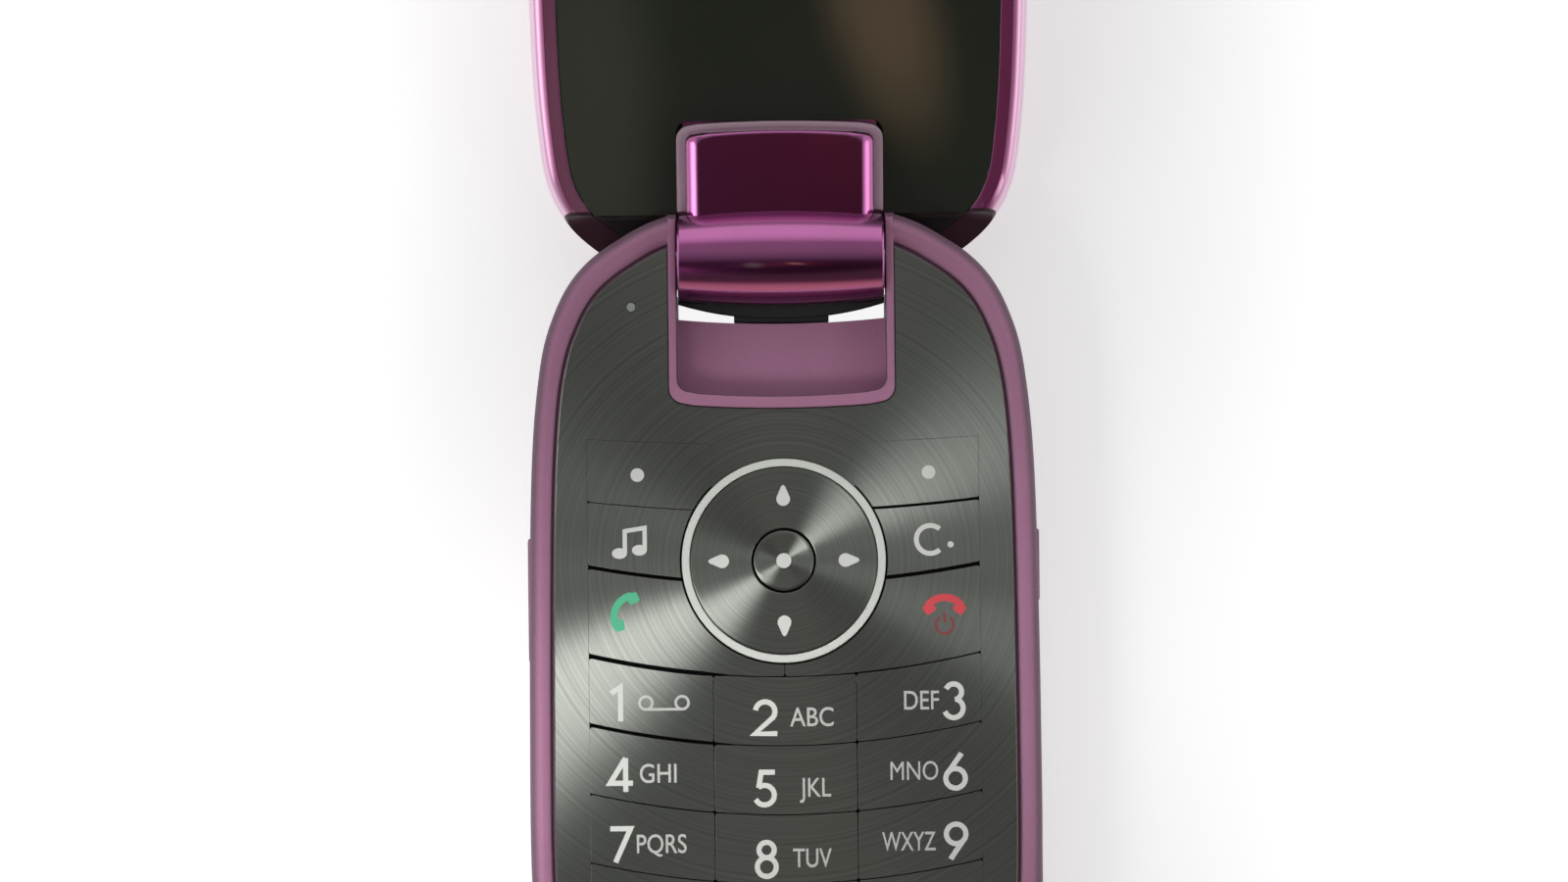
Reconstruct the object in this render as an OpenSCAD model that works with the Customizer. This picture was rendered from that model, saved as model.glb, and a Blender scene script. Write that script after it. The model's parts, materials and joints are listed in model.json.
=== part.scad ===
// Clamshell telephone: a keypad half and a display half joined by a central hinge barrel.
// The keypad half lies on its flat back and the display half stands open.
// +X is to the right of the keypad, +Y runs from the keypad to the display, +Z is up.
// The origin is the centre of the flat back. The display half is drawn closed, lying over
// the keypad half, and then swung open about the hinge axis.

/* [Body] */
// Widest width of both halves
body_w = 49.5; // [48.5:0.1:50.5]
// Length of each half from the hinge axis to its far end
body_len = 85.4; // [84.4:0.2:87.4]
// Thickness of the keypad half
base_t = 10.5; // [10.4:0.1:10.8]
// Thickness of the display half
lid_t = 6.0; // [5.8:0.1:6.0]
// Gap between the closed halves
closed_gap = 0.4; // [0.3:0.05:0.6]
// Angle between the two halves as drawn
open_angle = 168; // [90:1:168]
// Width of the keypad half's rim along the sides
rim_w = 2.6; // [2.4:0.1:2.8]
// How much narrower the display half is, on each side
lid_inset = 0.5; // [0.3:0.1:0.6]
// Width of the display half's rim, with its rounded edge
lid_rim_w = 2.4; // [2.2:0.1:2.6]

/* [Hinge] */
// Hinge axis along the length, from the origin
axis_y = 42; // [41:0.5:43]
// Depth of the hinge axis below the keypad half's top
axis_depth = 2.0; // [1.9:0.1:2.1]
// Radius of the keypad half's two ears about the hinge axis
ear_r = 4.25; // [4.1:0.05:4.3]
// Radius of the hollow in the display half that turns about the ears
cove_r = 4.6; // [4.5:0.05:4.7]
// Radius of the barrel at its middle
barrel_r = 4.7; // [4.6:0.05:4.75]
// Radius of the barrel at its ends
barrel_end_r = 4.1; // [4.0:0.1:4.4]
// Length of the barrel
barrel_len = 19.9; // [19.5:0.1:20.0]
// Width of the bay that the barrel turns in
bay_w = 20.2; // [20.2:0.1:20.4]
// Height of the neck that carries the barrel above the display face
neck_h = 3.0; // [2.8:0.1:3.0]
// Reach of the neck from the hinge axis
neck_reach = 13.0; // [12.5:0.1:13.1]
// Radius of the hinge pin and of the cam's nose
pin_r = 0.9; // [0.8:0.05:0.95]
// Running clearance of the hinge pins
pin_play = 0.05; // [0.02:0.01:0.08]

/* [Keypad] */
// Distance of the navigation pad's centre below the hinge axis
nav_d = 29.3; // [29:0.1:29.6]
// Outer radius of the light ring round the navigation pad
nav_r = 9.85; // [9.7:0.05:10]
// Width of the light ring
light_ring_w = 0.75; // [0.6:0.05:0.9]
// Radius of the key in the middle of the navigation pad
ok_r = 2.9; // [2.7:0.1:3.0]
// Distance between the rows of number keys
row_pitch = 6.66; // [6.6:0.01:6.7]
// Distance of the first row's upper edge below the hinge axis
rows_d = 40.5; // [40.4:0.1:40.8]
// Half the width of the keys together
keys_half_w = 18.9; // [18.5:0.1:19]
// Half the width of the middle column
middle_half_w = 6.9; // [6.6:0.1:7.2]
// Width of the groove between two keys
groove = 0.35; // [0.3:0.05:0.45]

/* [Hidden] */
$fn = 64;
eps = 0.01;
fit = 0.05;

// Heights in the keypad half, from its back
split_z = 5.0;
floor_t = 1.0;
cover_top_z = 3.4;
cover_t = 0.9;
tub_z = 1.7;
board_z = 6.6;
board_t = 0.8;
dome_z = board_z + board_t;
dome_sheet_t = 0.2;
dome_h = 0.25;
mat_z = 8.0;
mat_t = 0.4;
mat_top_z = base_t - 1.4;
nav_pivot_z = base_t - 0.9;
key_top_z = base_t - 0.2;
panel_top_z = base_t - 0.3;
panel_t = 0.5;
panel_z = panel_top_z - panel_t;
ledge_z = 8.7;
ledge_w = 0.8;
wall = 1.5;

// Hinge places
axis_z = base_t - axis_depth;
bay_half = bay_w / 2;
bay_top_y = axis_y + 8;
ear_back_y = axis_y - 3.6;
pocket_floor_z = axis_z - 0.9;
pocket_floor_t = 0.8;
pocket_reach = neck_reach + 0.4;
pocket_rim = 0.85;
pocket_end_rim = 1.2;
pocket_corner_r = 1.2;
bay_d_middle = 6.4;
bay_d_end = 5.9;
saddle_r = barrel_r + 0.25;
bridge_half = 4.6;
bridge_z = [1.2, 7.2];
bridge_tongue = [2.9, 9.0, 5.3, 6.5];
tail_s = 3.9;
tail_r = lid_t + closed_gap + axis_depth - 0.02;
ear_bore_end_x = 14.4;
pin_in_barrel = 3.5;
cartridge_r = 2.6;
cartridge_in_r = 2.05;
cartridge_x0 = -6;
cartridge_x1 = barrel_len / 2 - 0.15;

// Heights in the closed display half
lid_z = base_t + closed_gap;
lid_top_z = lid_z + lid_t;
glass_z = lid_z + 0.08;
glass_t = 0.75;
frame_z = glass_z + glass_t;
frame_t = 1.5;
tongue_t = 0.7;
lid_skin = 0.9;
lid_board_z = lid_z + 2.6;
lid_board_t = 0.6;
screen_t = 1.6;
outer_screen_t = 1.4;

// Screen and outer window, as [half width, near end, far end] from the hinge axis
screen = [18.2, 20, 73];
outer_view = [11, 34, 56];
camera_d = 24;

// Battery space in the back: half width, low and high ends
battery_half_w = 17;
battery_y = [-37, 6.5];
battery_z = [1.15, 5.1];
cover_end_y = 8;

// Screws, as [x, y]
screw_places = [for (sx = [-1, 1], p = [[19.2, 29], [19.6, -30]]) [sx * p[0], p[1]]];
lid_screw_places = [for (sx = [-1, 1], p = [[7.5, 17.2], [15, 76]]) [sx * p[0], axis_y - p[1]]];
screw_r = 0.7;
screw_head_r = 1.25;
screw_head_z = tub_z + 0.05;
screw_head_h = 0.8;
screw_end_z = split_z + 2.5;
boss_r = 1.75;

// Half outline, as [half width, distance below the hinge axis], from the arch to the far end
half_outline = [
    [0, -6.2], [10.7, -4.2], [16.2, -1.6], [19.8, 1.4], [22.1, 5.5], [23.5, 11], [24.4, 22],
    [24.75, 45], [24.6, body_len - 23.4], [23.2, body_len - 13.4], [19.5, body_len - 6],
    [12, body_len - 1.5], [0, body_len]];
outline_steps = 5;
outline_loop = [
    for (p = half_outline) [p[0] * body_w / 49.5, axis_y - p[1]],
    for (i = [len(half_outline) - 2 : -1 : 1])
        [-half_outline[i][0] * body_w / 49.5, axis_y - half_outline[i][1]]];

// A smooth curve through four neighbouring points, between the middle two
function spline(a, b, c, d, t) =
    (2 * b + (c - a) * t + (2 * a - 5 * b + 4 * c - d) * t * t
        + (3 * b - a - 3 * c + d) * t * t * t) / 2;
function wrapped(list, i) = list[(i + len(list)) % len(list)];
smooth_outline = [
    for (i = [0 : len(outline_loop) - 1], k = [0 : outline_steps - 1])
        spline(wrapped(outline_loop, i - 1), outline_loop[i], wrapped(outline_loop, i + 1),
            wrapped(outline_loop, i + 2), k / outline_steps)];
function outward(i) =
    let (t = wrapped(smooth_outline, i + 1) - wrapped(smooth_outline, i - 1))
        [-t[1], t[0]] / norm(t);
// The outline drawn in by an even width, and by one that grows by arch_extra over the arch
function outline(inset, arch_extra = 0) = [
    for (i = [0 : len(smooth_outline) - 1])
        let (p = smooth_outline[i],
            extra = arch_extra * min(1, max(0, (p[1] - axis_y + 12) / 12)))
                p - (inset + extra) * outward(i)];

/* ---- general shapes ---- */

// Solid between outlines, each level as [inset, height]
module loft(levels) {
    rings = [for (l = levels) [for (p = outline(l[0])) [p[0], p[1], l[1]]]];
    n = len(rings[0]);
    last = len(levels) - 1;
    sides = [
        for (k = [0 : last - 1], i = [0 : n - 1], up = [0, 1])
            let (a = k * n + i, b = k * n + (i + 1) % n)
                up == 0 ? [a, b, b + n] : [a, b + n, a + n]];
    ends = [[for (i = [n - 1 : -1 : 0]) i], [for (i = [0 : n - 1]) last * n + i]];
    polyhedron([for (r = rings, p = r) p], concat(sides, ends));
}

// Straight prism of the outline drawn in by inset
module prism(inset, z0, z1, arch_extra = 0) {
    translate([0, 0, z0]) linear_extrude(z1 - z0) polygon(outline(inset, arch_extra));
}

// Box between two corners
module block(low, high) {
    translate(low) cube(high - low);
}

// Cylinder along X about the hinge axis
module hinge_rod(x0, x1, r) {
    translate([x0, axis_y, axis_z]) rotate([0, 90, 0]) cylinder(h = x1 - x0, r = r);
}

// Rectangle with rounded corners, centred
module rounded_plate(size, corner, z0, z1) {
    translate([0, 0, z0]) linear_extrude(z1 - z0) rounded_rect(size, corner);
}

module rounded_rect(size, corner) {
    half = size / 2 - [corner, corner];
    polygon([
        for (q = [[1, 1, 0], [-1, 1, 90], [-1, -1, 180], [1, -1, 270]], a = [0 : 15 : 90])
            [q[0] * half[0], q[1] * half[1]] + corner * [cos(q[2] + a), sin(q[2] + a)]]);
}

// Places the closed display half's pieces at the open angle
module lid_place() {
    translate([0, axis_y, axis_z]) rotate([-open_angle, 0, 0]) translate([0, -axis_y, -axis_z])
        children();
}

/* ---- hinge bay and pocket in the keypad half ---- */

// Distance of the bay's lower edge below the hinge axis, at a place across
function bay_d(x) = bay_d_middle - (bay_d_middle - bay_d_end) * pow(x / bay_half, 2);

// Plan of the bay, from its curved lower edge to beyond the arch
module bay_plan(half, extra = 0) {
    polygon(concat(
        [for (k = [-6 : 6]) [k * half / 6, axis_y - bay_d(k * bay_half / 6) - extra]],
        [[half, bay_top_y], [-half, bay_top_y]]));
}

// Plan of the pocket that takes the neck when closed, grown by a rim
module pocket_plan(side_rim, end_rim) {
    half = bay_half + side_rim;
    low = axis_y - pocket_reach - end_rim;
    bow = 0.5;
    polygon(concat(
        [[half, bay_top_y], [-half, bay_top_y], [-half, low + bow + pocket_corner_r]],
        [for (a = [195 : 15 : 255])
            [-half + pocket_corner_r, low + bow + pocket_corner_r]
                + pocket_corner_r * [cos(a), sin(a)]],
        [for (k = [-4 : 4]) let (x = k * (half - 1.2 * pocket_corner_r) / 4)
            [x, low + bow * pow(x / half, 2)]],
        [for (a = [285 : 15 : 345])
            [half - pocket_corner_r, low + bow + pocket_corner_r]
                + pocket_corner_r * [cos(a), sin(a)]],
        [[half, low + bow + pocket_corner_r]]));
}

/* ---- key plan ---- */

// Edges between the rows of keys: distance below the hinge axis on the centre line, and how
// fast the edge rises towards the sides
row_edges = concat(
    [[18.05, 0.0018], [24.55, 0.0031], [31.5, 0.005]],
    [for (k = [0 : 4]) [rows_d + k * row_pitch, 0.0062]]);
function edge_y(edge, x) = axis_y - edge[0] + edge[1] * x * x;

// Keys, as [name, column, upper edge]
side_rows = [
    ["soft_key_left", -1, 0], ["soft_key_right", 1, 0], ["music_key", -1, 1],
    ["clear_key", 1, 1], ["call_key", -1, 2], ["end_key", 1, 2]];
number_names = ["1", "2", "3", "4", "5", "6", "7", "8", "9", "star", "0", "hash"];
number_rows = [
    for (i = [0 : 11]) [str("key_", number_names[i]), i % 3 - 1, 3 + floor(i / 3)]];
key_list = concat(side_rows, number_rows);

// Plan of one key, with its straight sides and edges moved outwards by grow. The call and end
// keys reach under the navigation pad and meet on the centre line.
module key_plan(key, grow) {
    inner = key[2] == 2 ? 0 : middle_half_w;
    x0 = key[1] == 0 ? -middle_half_w : key[1] * inner;
    x1 = key[1] == 0 ? middle_half_w : key[1] * keys_half_w;
    low = min(x0, x1) - grow;
    high = max(x0, x1) + grow;
    upper = row_edges[key[2]];
    lower = row_edges[key[2] + 1];
    steps = key[2] == 2 ? 8 : 5;
    polygon(concat(
        [for (i = [0 : steps]) let (x = low + (high - low) * i / steps)
            [x, edge_y(upper, x) + grow]],
        [for (i = [steps : -1 : 0]) let (x = low + (high - low) * i / steps)
            [x, edge_y(lower, x) - grow]]));
}

module key_block(key, grow, z0, z1) {
    difference() {
        translate([0, 0, z0]) linear_extrude(z1 - z0) key_plan(key, grow);
        if (key[2] < 3)
            nav_cylinder(nav_r + groove / 2 - grow, z0 - 1, z1 + 1);
    }
}

// Upright cylinder about the navigation pad's centre
module nav_cylinder(r, z0, z1) {
    translate([0, axis_y - nav_d, z0]) cylinder(h = z1 - z0, r = r);
}

function key_centre(key) =
    let (x = key[1] * (middle_half_w + keys_half_w) / 2 + key[1] * (key[2] < 3 ? 1.5 : 0))
        [x, (edge_y(row_edges[key[2]], x) + edge_y(row_edges[key[2] + 1], x)) / 2];

/* ---- keypad half: casing ---- */

// Outer shape of the front frame: the rim, and the ears rounded about the hinge axis
module front_outer() {
    intersection() {
        loft([[0, axis_z - ear_r], [0, 8.5], [0.35, 9.6], [0.8, 10.2], [1.4, base_t]]);
        union() {
            block([-30, -60, split_z], [30, ear_back_y, base_t + 1]);
            hinge_rod(-22, 22, ear_r);
        }
    }
}

module base_front_frame() {
    color("#8f6a84")
    difference() {
        union() {
            difference() {
                front_outer();
                difference() {
                    prism(wall, split_z - 1, ledge_z);
                    block([-30, axis_y - 5, split_z - 2], [30, axis_y + 10, ledge_z + 1]);
                }
                difference() {
                    prism(rim_w + ledge_w, ledge_z - eps, panel_z + eps);
                    block([-30, axis_y - 5, split_z - 2], [30, axis_y + 10, panel_z + 1]);
                }
                prism(rim_w, panel_z, base_t + 1, 0.6);
            }
            intersection() {
                translate([0, 0, split_z]) linear_extrude(base_t - split_z)
                    pocket_plan(pocket_rim, pocket_end_rim);
                union() {
                    block([-30, 0, split_z], [30, ear_back_y, base_t]);
                    hinge_rod(-22, 22, ear_r);
                }
            }
            for (p = screw_places)
                translate([p[0], p[1], split_z]) cylinder(h = ledge_z - split_z + 0.3, r = boss_r);
        }
        // the pocket over its floor, and the open bay
        translate([0, 0, pocket_floor_z]) linear_extrude(base_t) pocket_plan(0, 0);
        linear_extrude(base_t) bay_plan(bay_half);
        // hollow under the pocket floor, inside its end wall
        block([-bay_half + 0.6, axis_y - pocket_reach - pocket_end_rim + 1, split_z - 1],
            [bay_half - 0.6, axis_y - bay_d_middle - 1, pocket_floor_z - pocket_floor_t]);
        // slot for the bridge's tongue
        block([-bridge_tongue[0] - 0.1, axis_y - bay_d_middle - 1.2, bridge_tongue[2] - 0.1],
            [bridge_tongue[0] + 0.1, axis_y, bridge_tongue[3] + 0.1]);
        hinge_rod(-ear_bore_end_x, ear_bore_end_x, pin_r);
        for (p = screw_places)
            translate([p[0], p[1], split_z - 1]) cylinder(h = screw_end_z - split_z + 1.1, r = screw_r);
        side_windows();
        status_hole(ledge_z);
        // sound hole of the microphone
        translate([0, axis_y - body_len + 3, 7.9]) rotate([90, 0, 0]) cylinder(h = 6, r = 0.4);
    }
}

// Side pieces, as [side, middle along the length, length, height]
rocker = [-1, 9, 12, 2.0];
shutter = [1, 12, 7, 2.0];
port = [1, -14, 10, 3.2];
port_hinge_r = 0.45;
side_z = 6.7;
function side_x(y) = body_w / 2 - 0.02 - 0.0004 * pow(y + 3, 2);

// Block through the side wall at a side piece, its lower edge raised by lift
module side_slot(item, play, depth, proud, lift = 0) {
    x = side_x(item[1]);
    low = item[0] > 0 ? x - depth : -x - proud;
    translate([low, item[1] - item[2] / 2 - play, side_z - item[3] / 2 - play + lift])
        cube([depth + proud, item[2] + 2 * play, item[3] + 2 * play - lift]);
}

module side_windows() {
    for (item = [rocker, shutter, port]) side_slot(item, 0.15, 3, 2);
}

module status_hole(z0) {
    translate([-14.5, axis_y - 4.7, z0]) cylinder(h = base_t, r = 0.5);
}

module rear_outer() {
    loft([[3.4, 0], [1.8, 0.5], [0.9, 1.2], [0.35, 2.3], [0.05, 3.6], [0, split_z]]);
}

module base_rear_housing() {
    color("#7c2f6b")
    difference() {
        union() {
            difference() {
                rear_outer();
                // room over the floor, narrower where the belly curves in
                difference() {
                    union() {
                        prism(2.4, floor_t, split_z + 1);
                        prism(1.3, tub_z, split_z + 1);
                    }
                    block([-30, -60, -1], [30, cover_end_y + 1.2, split_z + 2]);
                    translate([0, 0, -1]) linear_extrude(20) bay_plan(bay_half + 1, 1);
                    block([-30, ear_back_y - 1.2, -1], [30, 60, 20]);
                }
                // battery room, open to the back
                difference() {
                    prism(2.3, -1, split_z + 1);
                    block([-30, cover_end_y - 0.2, -2], [30, 60, split_z + 2]);
                }
                // room for the sliding cover
                difference() {
                    block([-30, -60, -1], [30, cover_end_y, cover_top_z]);
                    prism(1.65, tub_z, split_z);
                }
            }
            for (p = screw_places) {
                foot = p[1] < 0 ? tub_z : floor_t / 2;
                translate([p[0], p[1], foot]) cylinder(h = split_z - foot, r = boss_r);
            }
        }
        // end cut for the display half's tail, and the bay
        block([-30, ear_back_y, -1], [30, 60, split_z + 1]);
        translate([0, 0, -1]) linear_extrude(20) bay_plan(bay_half);
        for (p = screw_places) {
            translate([p[0], p[1], -1]) cylinder(h = 20, r = screw_r + fit);
            translate([p[0], p[1], -1])
                cylinder(h = 1 + screw_head_z + screw_head_h, r = screw_head_r + 0.1);
        }
        // sound slots over the loudspeaker
        for (k = [-2 : 2])
            block([-16.5, 22 + 1.6 * k - 0.35, -1], [-7.5, 22 + 1.6 * k + 0.35, floor_t + 1]);
    }
}

module battery_cover() {
    color("#7c2f6b")
    difference() {
        rear_outer();
        prism(2.4, cover_t, split_z + 1);
        prism(1.5, cover_t + 0.65, split_z + 1);
        block([-30, -60, cover_top_z - 0.05], [30, 60, 10]);
        block([-30, cover_end_y - 0.1, -1], [30, 60, 10]);
        // finger ridges
        for (k = [-2 : 2])
            translate([0, 2.5 + 1.3 * k, -0.1]) cube([14, 0.5, 0.5], center = true);
    }
}

module battery_pack() {
    color("#2b2c30")
    translate([0, (battery_y[0] + battery_y[1]) / 2, 0])
        rounded_plate([2 * battery_half_w, battery_y[1] - battery_y[0]], 1.5,
            battery_z[0], battery_z[1]);
}

module battery_contacts() {
    color("gold")
    for (k = [-1 : 1])
        block([-12 + 2.6 * k - 0.6, battery_y[1], 2.2], [-12 + 2.6 * k + 0.6, cover_end_y - 0.2, 4.6]);
}

module sim_holder() {
    color("silver")
    difference() {
        block([0.5, 10.5, 3.6], [15.5, 24.5, board_z]);
        block([1.1, 11.1, 4.2], [14.9, 30, 5.2]);
    }
}

module main_board() {
    color("#1d5a3c")
    difference() {
        prism(3.0, board_z, dome_z);
        block([-30, axis_y - 15.2, 0], [30, 60, 20]);
        for (p = screw_places)
            translate([p[0], p[1], 0]) cylinder(h = 20, r = boss_r + 0.2);
        block([side_x(port[1]) - 6.6, port[1] - 5, 0], [30, port[1] + 5, 20]);
    }
}

module shield_cans() {
    color("#b9bcc0")
    for (c = [[-15, -2, -33, -14], [1, 15, -33, -14], [-15, 15, -11, 4]])
        difference() {
            block([c[0], c[2], 5.25], [c[1], c[3], board_z]);
            block([c[0] + 0.2, c[2] + 0.2, 5.45], [c[1] - 0.2, c[3] - 0.2, board_z + 1]);
        }
}

module antenna() {
    color("#d9c9a0")
    difference() {
        prism(3.2, 5.4, board_z);
        block([-30, -34.5, 0], [30, 60, 20]);
        for (p = screw_places)
            translate([p[0], p[1], 0]) cylinder(h = 20, r = boss_r + 0.3);
    }
}

module loudspeaker() {
    color("#33343a")
    difference() {
        translate([-12, 22, floor_t]) cylinder(h = 3.6, r = 7);
        translate([-12, 22, floor_t - eps]) cylinder(h = 0.6, r = 5.6);
    }
}

module vibration_motor() {
    color("silver") translate([7.5, 31, floor_t + 1.95]) rotate([0, 90, 0]) {
        cylinder(h = 8, r = 1.9);
        translate([0, 0, -1.4]) cylinder(h = 1.4, r = 0.4);
        // half-round weight on the shaft
        intersection() {
            translate([0, 0, -4]) cylinder(h = 2.7, r = 1.8);
            translate([-2.5, -2.5, -4]) cube([2.5, 5, 3]);
        }
    }
}

module microphone() {
    color("silver") translate([0, axis_y - body_len + 5.4, dome_z]) cylinder(h = 1.1, r = 1.9);
}

module charging_socket() {
    x = side_x(port[1]);
    color("silver")
    difference() {
        block([x - 6.5, port[1] - 4.2, side_z - 1.1], [x - 1.7, port[1] + 4.2, side_z + 1.1]);
        block([x - 6, port[1] - 3.9, side_z - 0.85], [x, port[1] + 3.9, side_z + 0.85]);
    }
    color("#222222")
        block([x - 6, port[1] - 3.2, side_z - 0.25], [x - 2.2, port[1] + 3.2, side_z + 0.25]);
}

// Flap over the socket, turning on its round lower edge
module port_cover() {
    low = side_z - port[3] / 2;
    color("#7c2f6b") {
        side_slot(port, 0, 1.1, 0.1, port_hinge_r);
        translate([side_x(port[1]) + 0.1 - port_hinge_r, port[1] - port[2] / 2, low + port_hinge_r])
            rotate([-90, 0, 0]) cylinder(h = port[2], r = port_hinge_r);
    }
}

module volume_rocker() {
    color("#7c2f6b") {
        side_slot(rocker, 0, 1.7, 0.15);
        // upright pivot, just longer than the rocker is high
        translate([-side_x(rocker[1]) + 0.8, rocker[1], side_z - rocker[3] / 2 - 0.1])
            cylinder(h = rocker[3] + 0.2, r = 0.35);
    }
}

module camera_key() {
    color("#7c2f6b") side_slot(shutter, 0, 1.7, 0.15);
}

module status_light() {
    color("#d8e4da") translate([-14.5, axis_y - 4.7, ledge_z]) cylinder(h = panel_top_z + 0.05 - ledge_z, r = 0.5);
}

module base_screws() {
    color("silver")
    for (p = screw_places) translate([p[0], p[1], 0]) {
        difference() {
            translate([0, 0, screw_head_z]) cylinder(h = screw_head_h, r = screw_head_r);
            for (a = [0, 90]) rotate([0, 0, a])
                translate([0, 0, screw_head_z]) cube([1.4, 0.35, 0.8], center = true);
        }
        translate([0, 0, screw_head_z + screw_head_h])
            cylinder(h = screw_end_z - screw_head_z - screw_head_h, r = screw_r);
    }
}

/* ---- keypad half: keys ---- */

module dome_sheet() {
    color("#c9b27c") {
        difference() {
            prism(4.2, dome_z, dome_z + dome_sheet_t);
            block([-30, axis_y - 17, 0], [30, 60, 20]);
            block([-30, -60, 0], [30, axis_y - 69, 20]);
            block([side_x(port[1]) - 6.7, port[1] - 4.4, 0], [30, port[1] + 4.4, 20]);
        }
        for (p = dome_places)
            translate([p[0], p[1], dome_z + dome_sheet_t - eps]) cylinder(h = dome_h + eps, r = 1.6);
    }
}
dome_places = concat(
    [for (k = key_list) key_centre(k)],
    [[0, axis_y - nav_d]],
    [for (a = [0 : 90 : 270]) [0, axis_y - nav_d] + 6 * [cos(a), sin(a)]]);

module rubber_keymat() {
    color("#2a2b2a") {
        difference() {
            prism(1.8, mat_z, mat_z + mat_t);
            block([-30, axis_y - 16, 0], [30, 60, 20]);
            block([-30, -60, 0], [30, axis_y - 69, 20]);
        }
        for (k = key_list) {
            key_block(k, -1, mat_z + mat_t - eps, mat_top_z);
            c = key_centre(k);
            translate([c[0], c[1], mat_z - 0.15]) cylinder(h = 0.15 + eps, r = 0.9);
        }
        nav_cylinder(1.8, mat_z + mat_t - eps, mat_top_z);
        nav_cylinder(0.9, mat_z - 0.15, mat_z + eps);
        for (a = [0 : 90 : 270])
            translate([6 * cos(a), axis_y - nav_d + 6 * sin(a), mat_z - 0.15]) {
                cylinder(h = 0.15 + eps, r = 0.9);
                cylinder(h = 0.15 + mat_t + 0.5, r = 1.1);
            }
    }
}

module keypad_panel() {
    color("#3d403c")
    difference() {
        prism(rim_w + fit, panel_z, panel_top_z, 0.6);
        linear_extrude(base_t) pocket_plan(pocket_rim + fit, pocket_end_rim + fit);
        for (k = key_list) key_block(k, groove / 2, panel_z - 1, base_t);
        nav_cylinder(nav_r + fit, panel_z - 1, base_t);
        status_hole(0);
    }
}

module nav_light_ring() {
    color("#e6ece6")
    difference() {
        nav_cylinder(nav_r, mat_z + mat_t, key_top_z + 0.05);
        nav_cylinder(nav_r - light_ring_w, mat_z, base_t);
    }
}

module nav_carrier() {
    color("#55585a")
    difference() {
        union() {
            nav_cylinder(7.4, mat_top_z - 0.2, mat_top_z + 0.1);
            // stub pivots
            translate([-8.2, axis_y - nav_d, mat_top_z - 0.05]) rotate([0, 90, 0])
                cylinder(h = 16.4, r = 0.15);
        }
        nav_cylinder(ok_r + 0.5, mat_z, base_t);
    }
}

module nav_pad() {
    color("#3d403c")
    difference() {
        union() {
            nav_cylinder(nav_r - light_ring_w - 0.12, nav_pivot_z, key_top_z);
            // two round pivots that roll on the carrier
            translate([0, axis_y - nav_d - 7, nav_pivot_z]) rotate([-90, 0, 0])
                cylinder(h = 14, r = nav_pivot_z - mat_top_z - 0.1 - 0.01);
        }
        nav_cylinder(ok_r + 0.3, mat_z, base_t);
    }
}

module ok_key() {
    color("#3d403c") nav_cylinder(ok_r, mat_top_z, key_top_z + 0.05);
}

module key_cap(key) {
    color("#3d403c") key_block(key, -groove / 2, mat_top_z, key_top_z);
}

/* ---- hinge ---- */

function crown(x) = barrel_r - (barrel_r - barrel_end_r) * pow(2 * x / barrel_len, 2);

module barrel_solid() {
    half = barrel_len / 2;
    chamfer = 0.35;
    translate([0, axis_y, axis_z]) rotate([0, 90, 0]) rotate_extrude()
        polygon(concat(
            [[0, -half], [crown(half) - chamfer, -half]],
            [for (k = [-6 : 6]) let (x = k * (half - chamfer) / 6) [crown(x), x]],
            [[crown(half) - chamfer, half], [0, half]]));
}

// Neck seen along its length: upright sides and rounded shoulders, [x, height over the axis]
module neck_section() {
    half = bay_half - 0.3;
    top_half = 7.6;
    low = lid_z - axis_z - neck_h;
    shoulder_h = 1.6;
    polygon(concat(
        [[half, frame_z + 0.2 - axis_z], [-half, frame_z + 0.2 - axis_z]],
        [for (a = [180 : 15 : 270])
            [-top_half + (half - top_half) * cos(a), low + shoulder_h + shoulder_h * sin(a)]],
        [for (a = [270 : 15 : 360])
            [top_half + (half - top_half) * cos(a), low + shoulder_h + shoulder_h * sin(a)]]));
}

// Neck seen from above, with a bowed end and rounded corners
module neck_end_plan() {
    half = bay_half - 0.3;
    r = 1.5;
    low = axis_y - neck_reach;
    polygon(concat(
        [[half, axis_y - 2], [-half, axis_y - 2]],
        [for (a = [180 : 15 : 255]) [-half + r, low + 0.4 + r] + r * [cos(a), sin(a)]],
        [for (k = [-4 : 4]) let (x = k * (half - 1.3 * r) / 4) [x, low + 0.4 * pow(x / half, 2)]],
        [for (a = [285 : 15 : 360]) [half - r, low + 0.4 + r] + r * [cos(a), sin(a)]]));
}

module hinge_barrel() {
    color("#8f3f86")
    lid_place()
    difference() {
        union() {
            barrel_solid();
            intersection() {
                translate([0, axis_y, axis_z]) rotate([90, 0, 0])
                    linear_extrude(neck_reach + 1) neck_section();
                linear_extrude(40) neck_end_plan();
            }
            // tongue screwed inside the display half
            block([-9.4, axis_y - 19, frame_z], [9.4, axis_y - 4, frame_z + tongue_t]);
        }
        hinge_rod(-barrel_len, -barrel_len / 2 + pin_in_barrel, pin_r + pin_play);
        hinge_rod(cartridge_x0, barrel_len, cartridge_r);
        for (p = lid_screw_places)
            translate([p[0], p[1], 0]) cylinder(h = 40, r = screw_r);
    }
}

module hinge_pin() {
    color("silver") hinge_rod(-ear_bore_end_x, -barrel_len / 2 + pin_in_barrel - 0.1, pin_r);
}

module hinge_cartridge() {
    color("#b9bcc0")
    lid_place()
    difference() {
        hinge_rod(cartridge_x0, cartridge_x1, cartridge_r);
        hinge_rod(cartridge_x0 + 0.8, cartridge_x1 - 0.4, cartridge_in_r);
        hinge_rod(0, cartridge_x1 + 1, pin_r + pin_play);
    }
}

module hinge_cam() {
    color("silver") {
        hinge_rod(cartridge_x1 - 0.6, ear_bore_end_x, pin_r);
        hinge_rod(3, cartridge_x1 - 0.5, cartridge_in_r - pin_play);
    }
}

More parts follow.
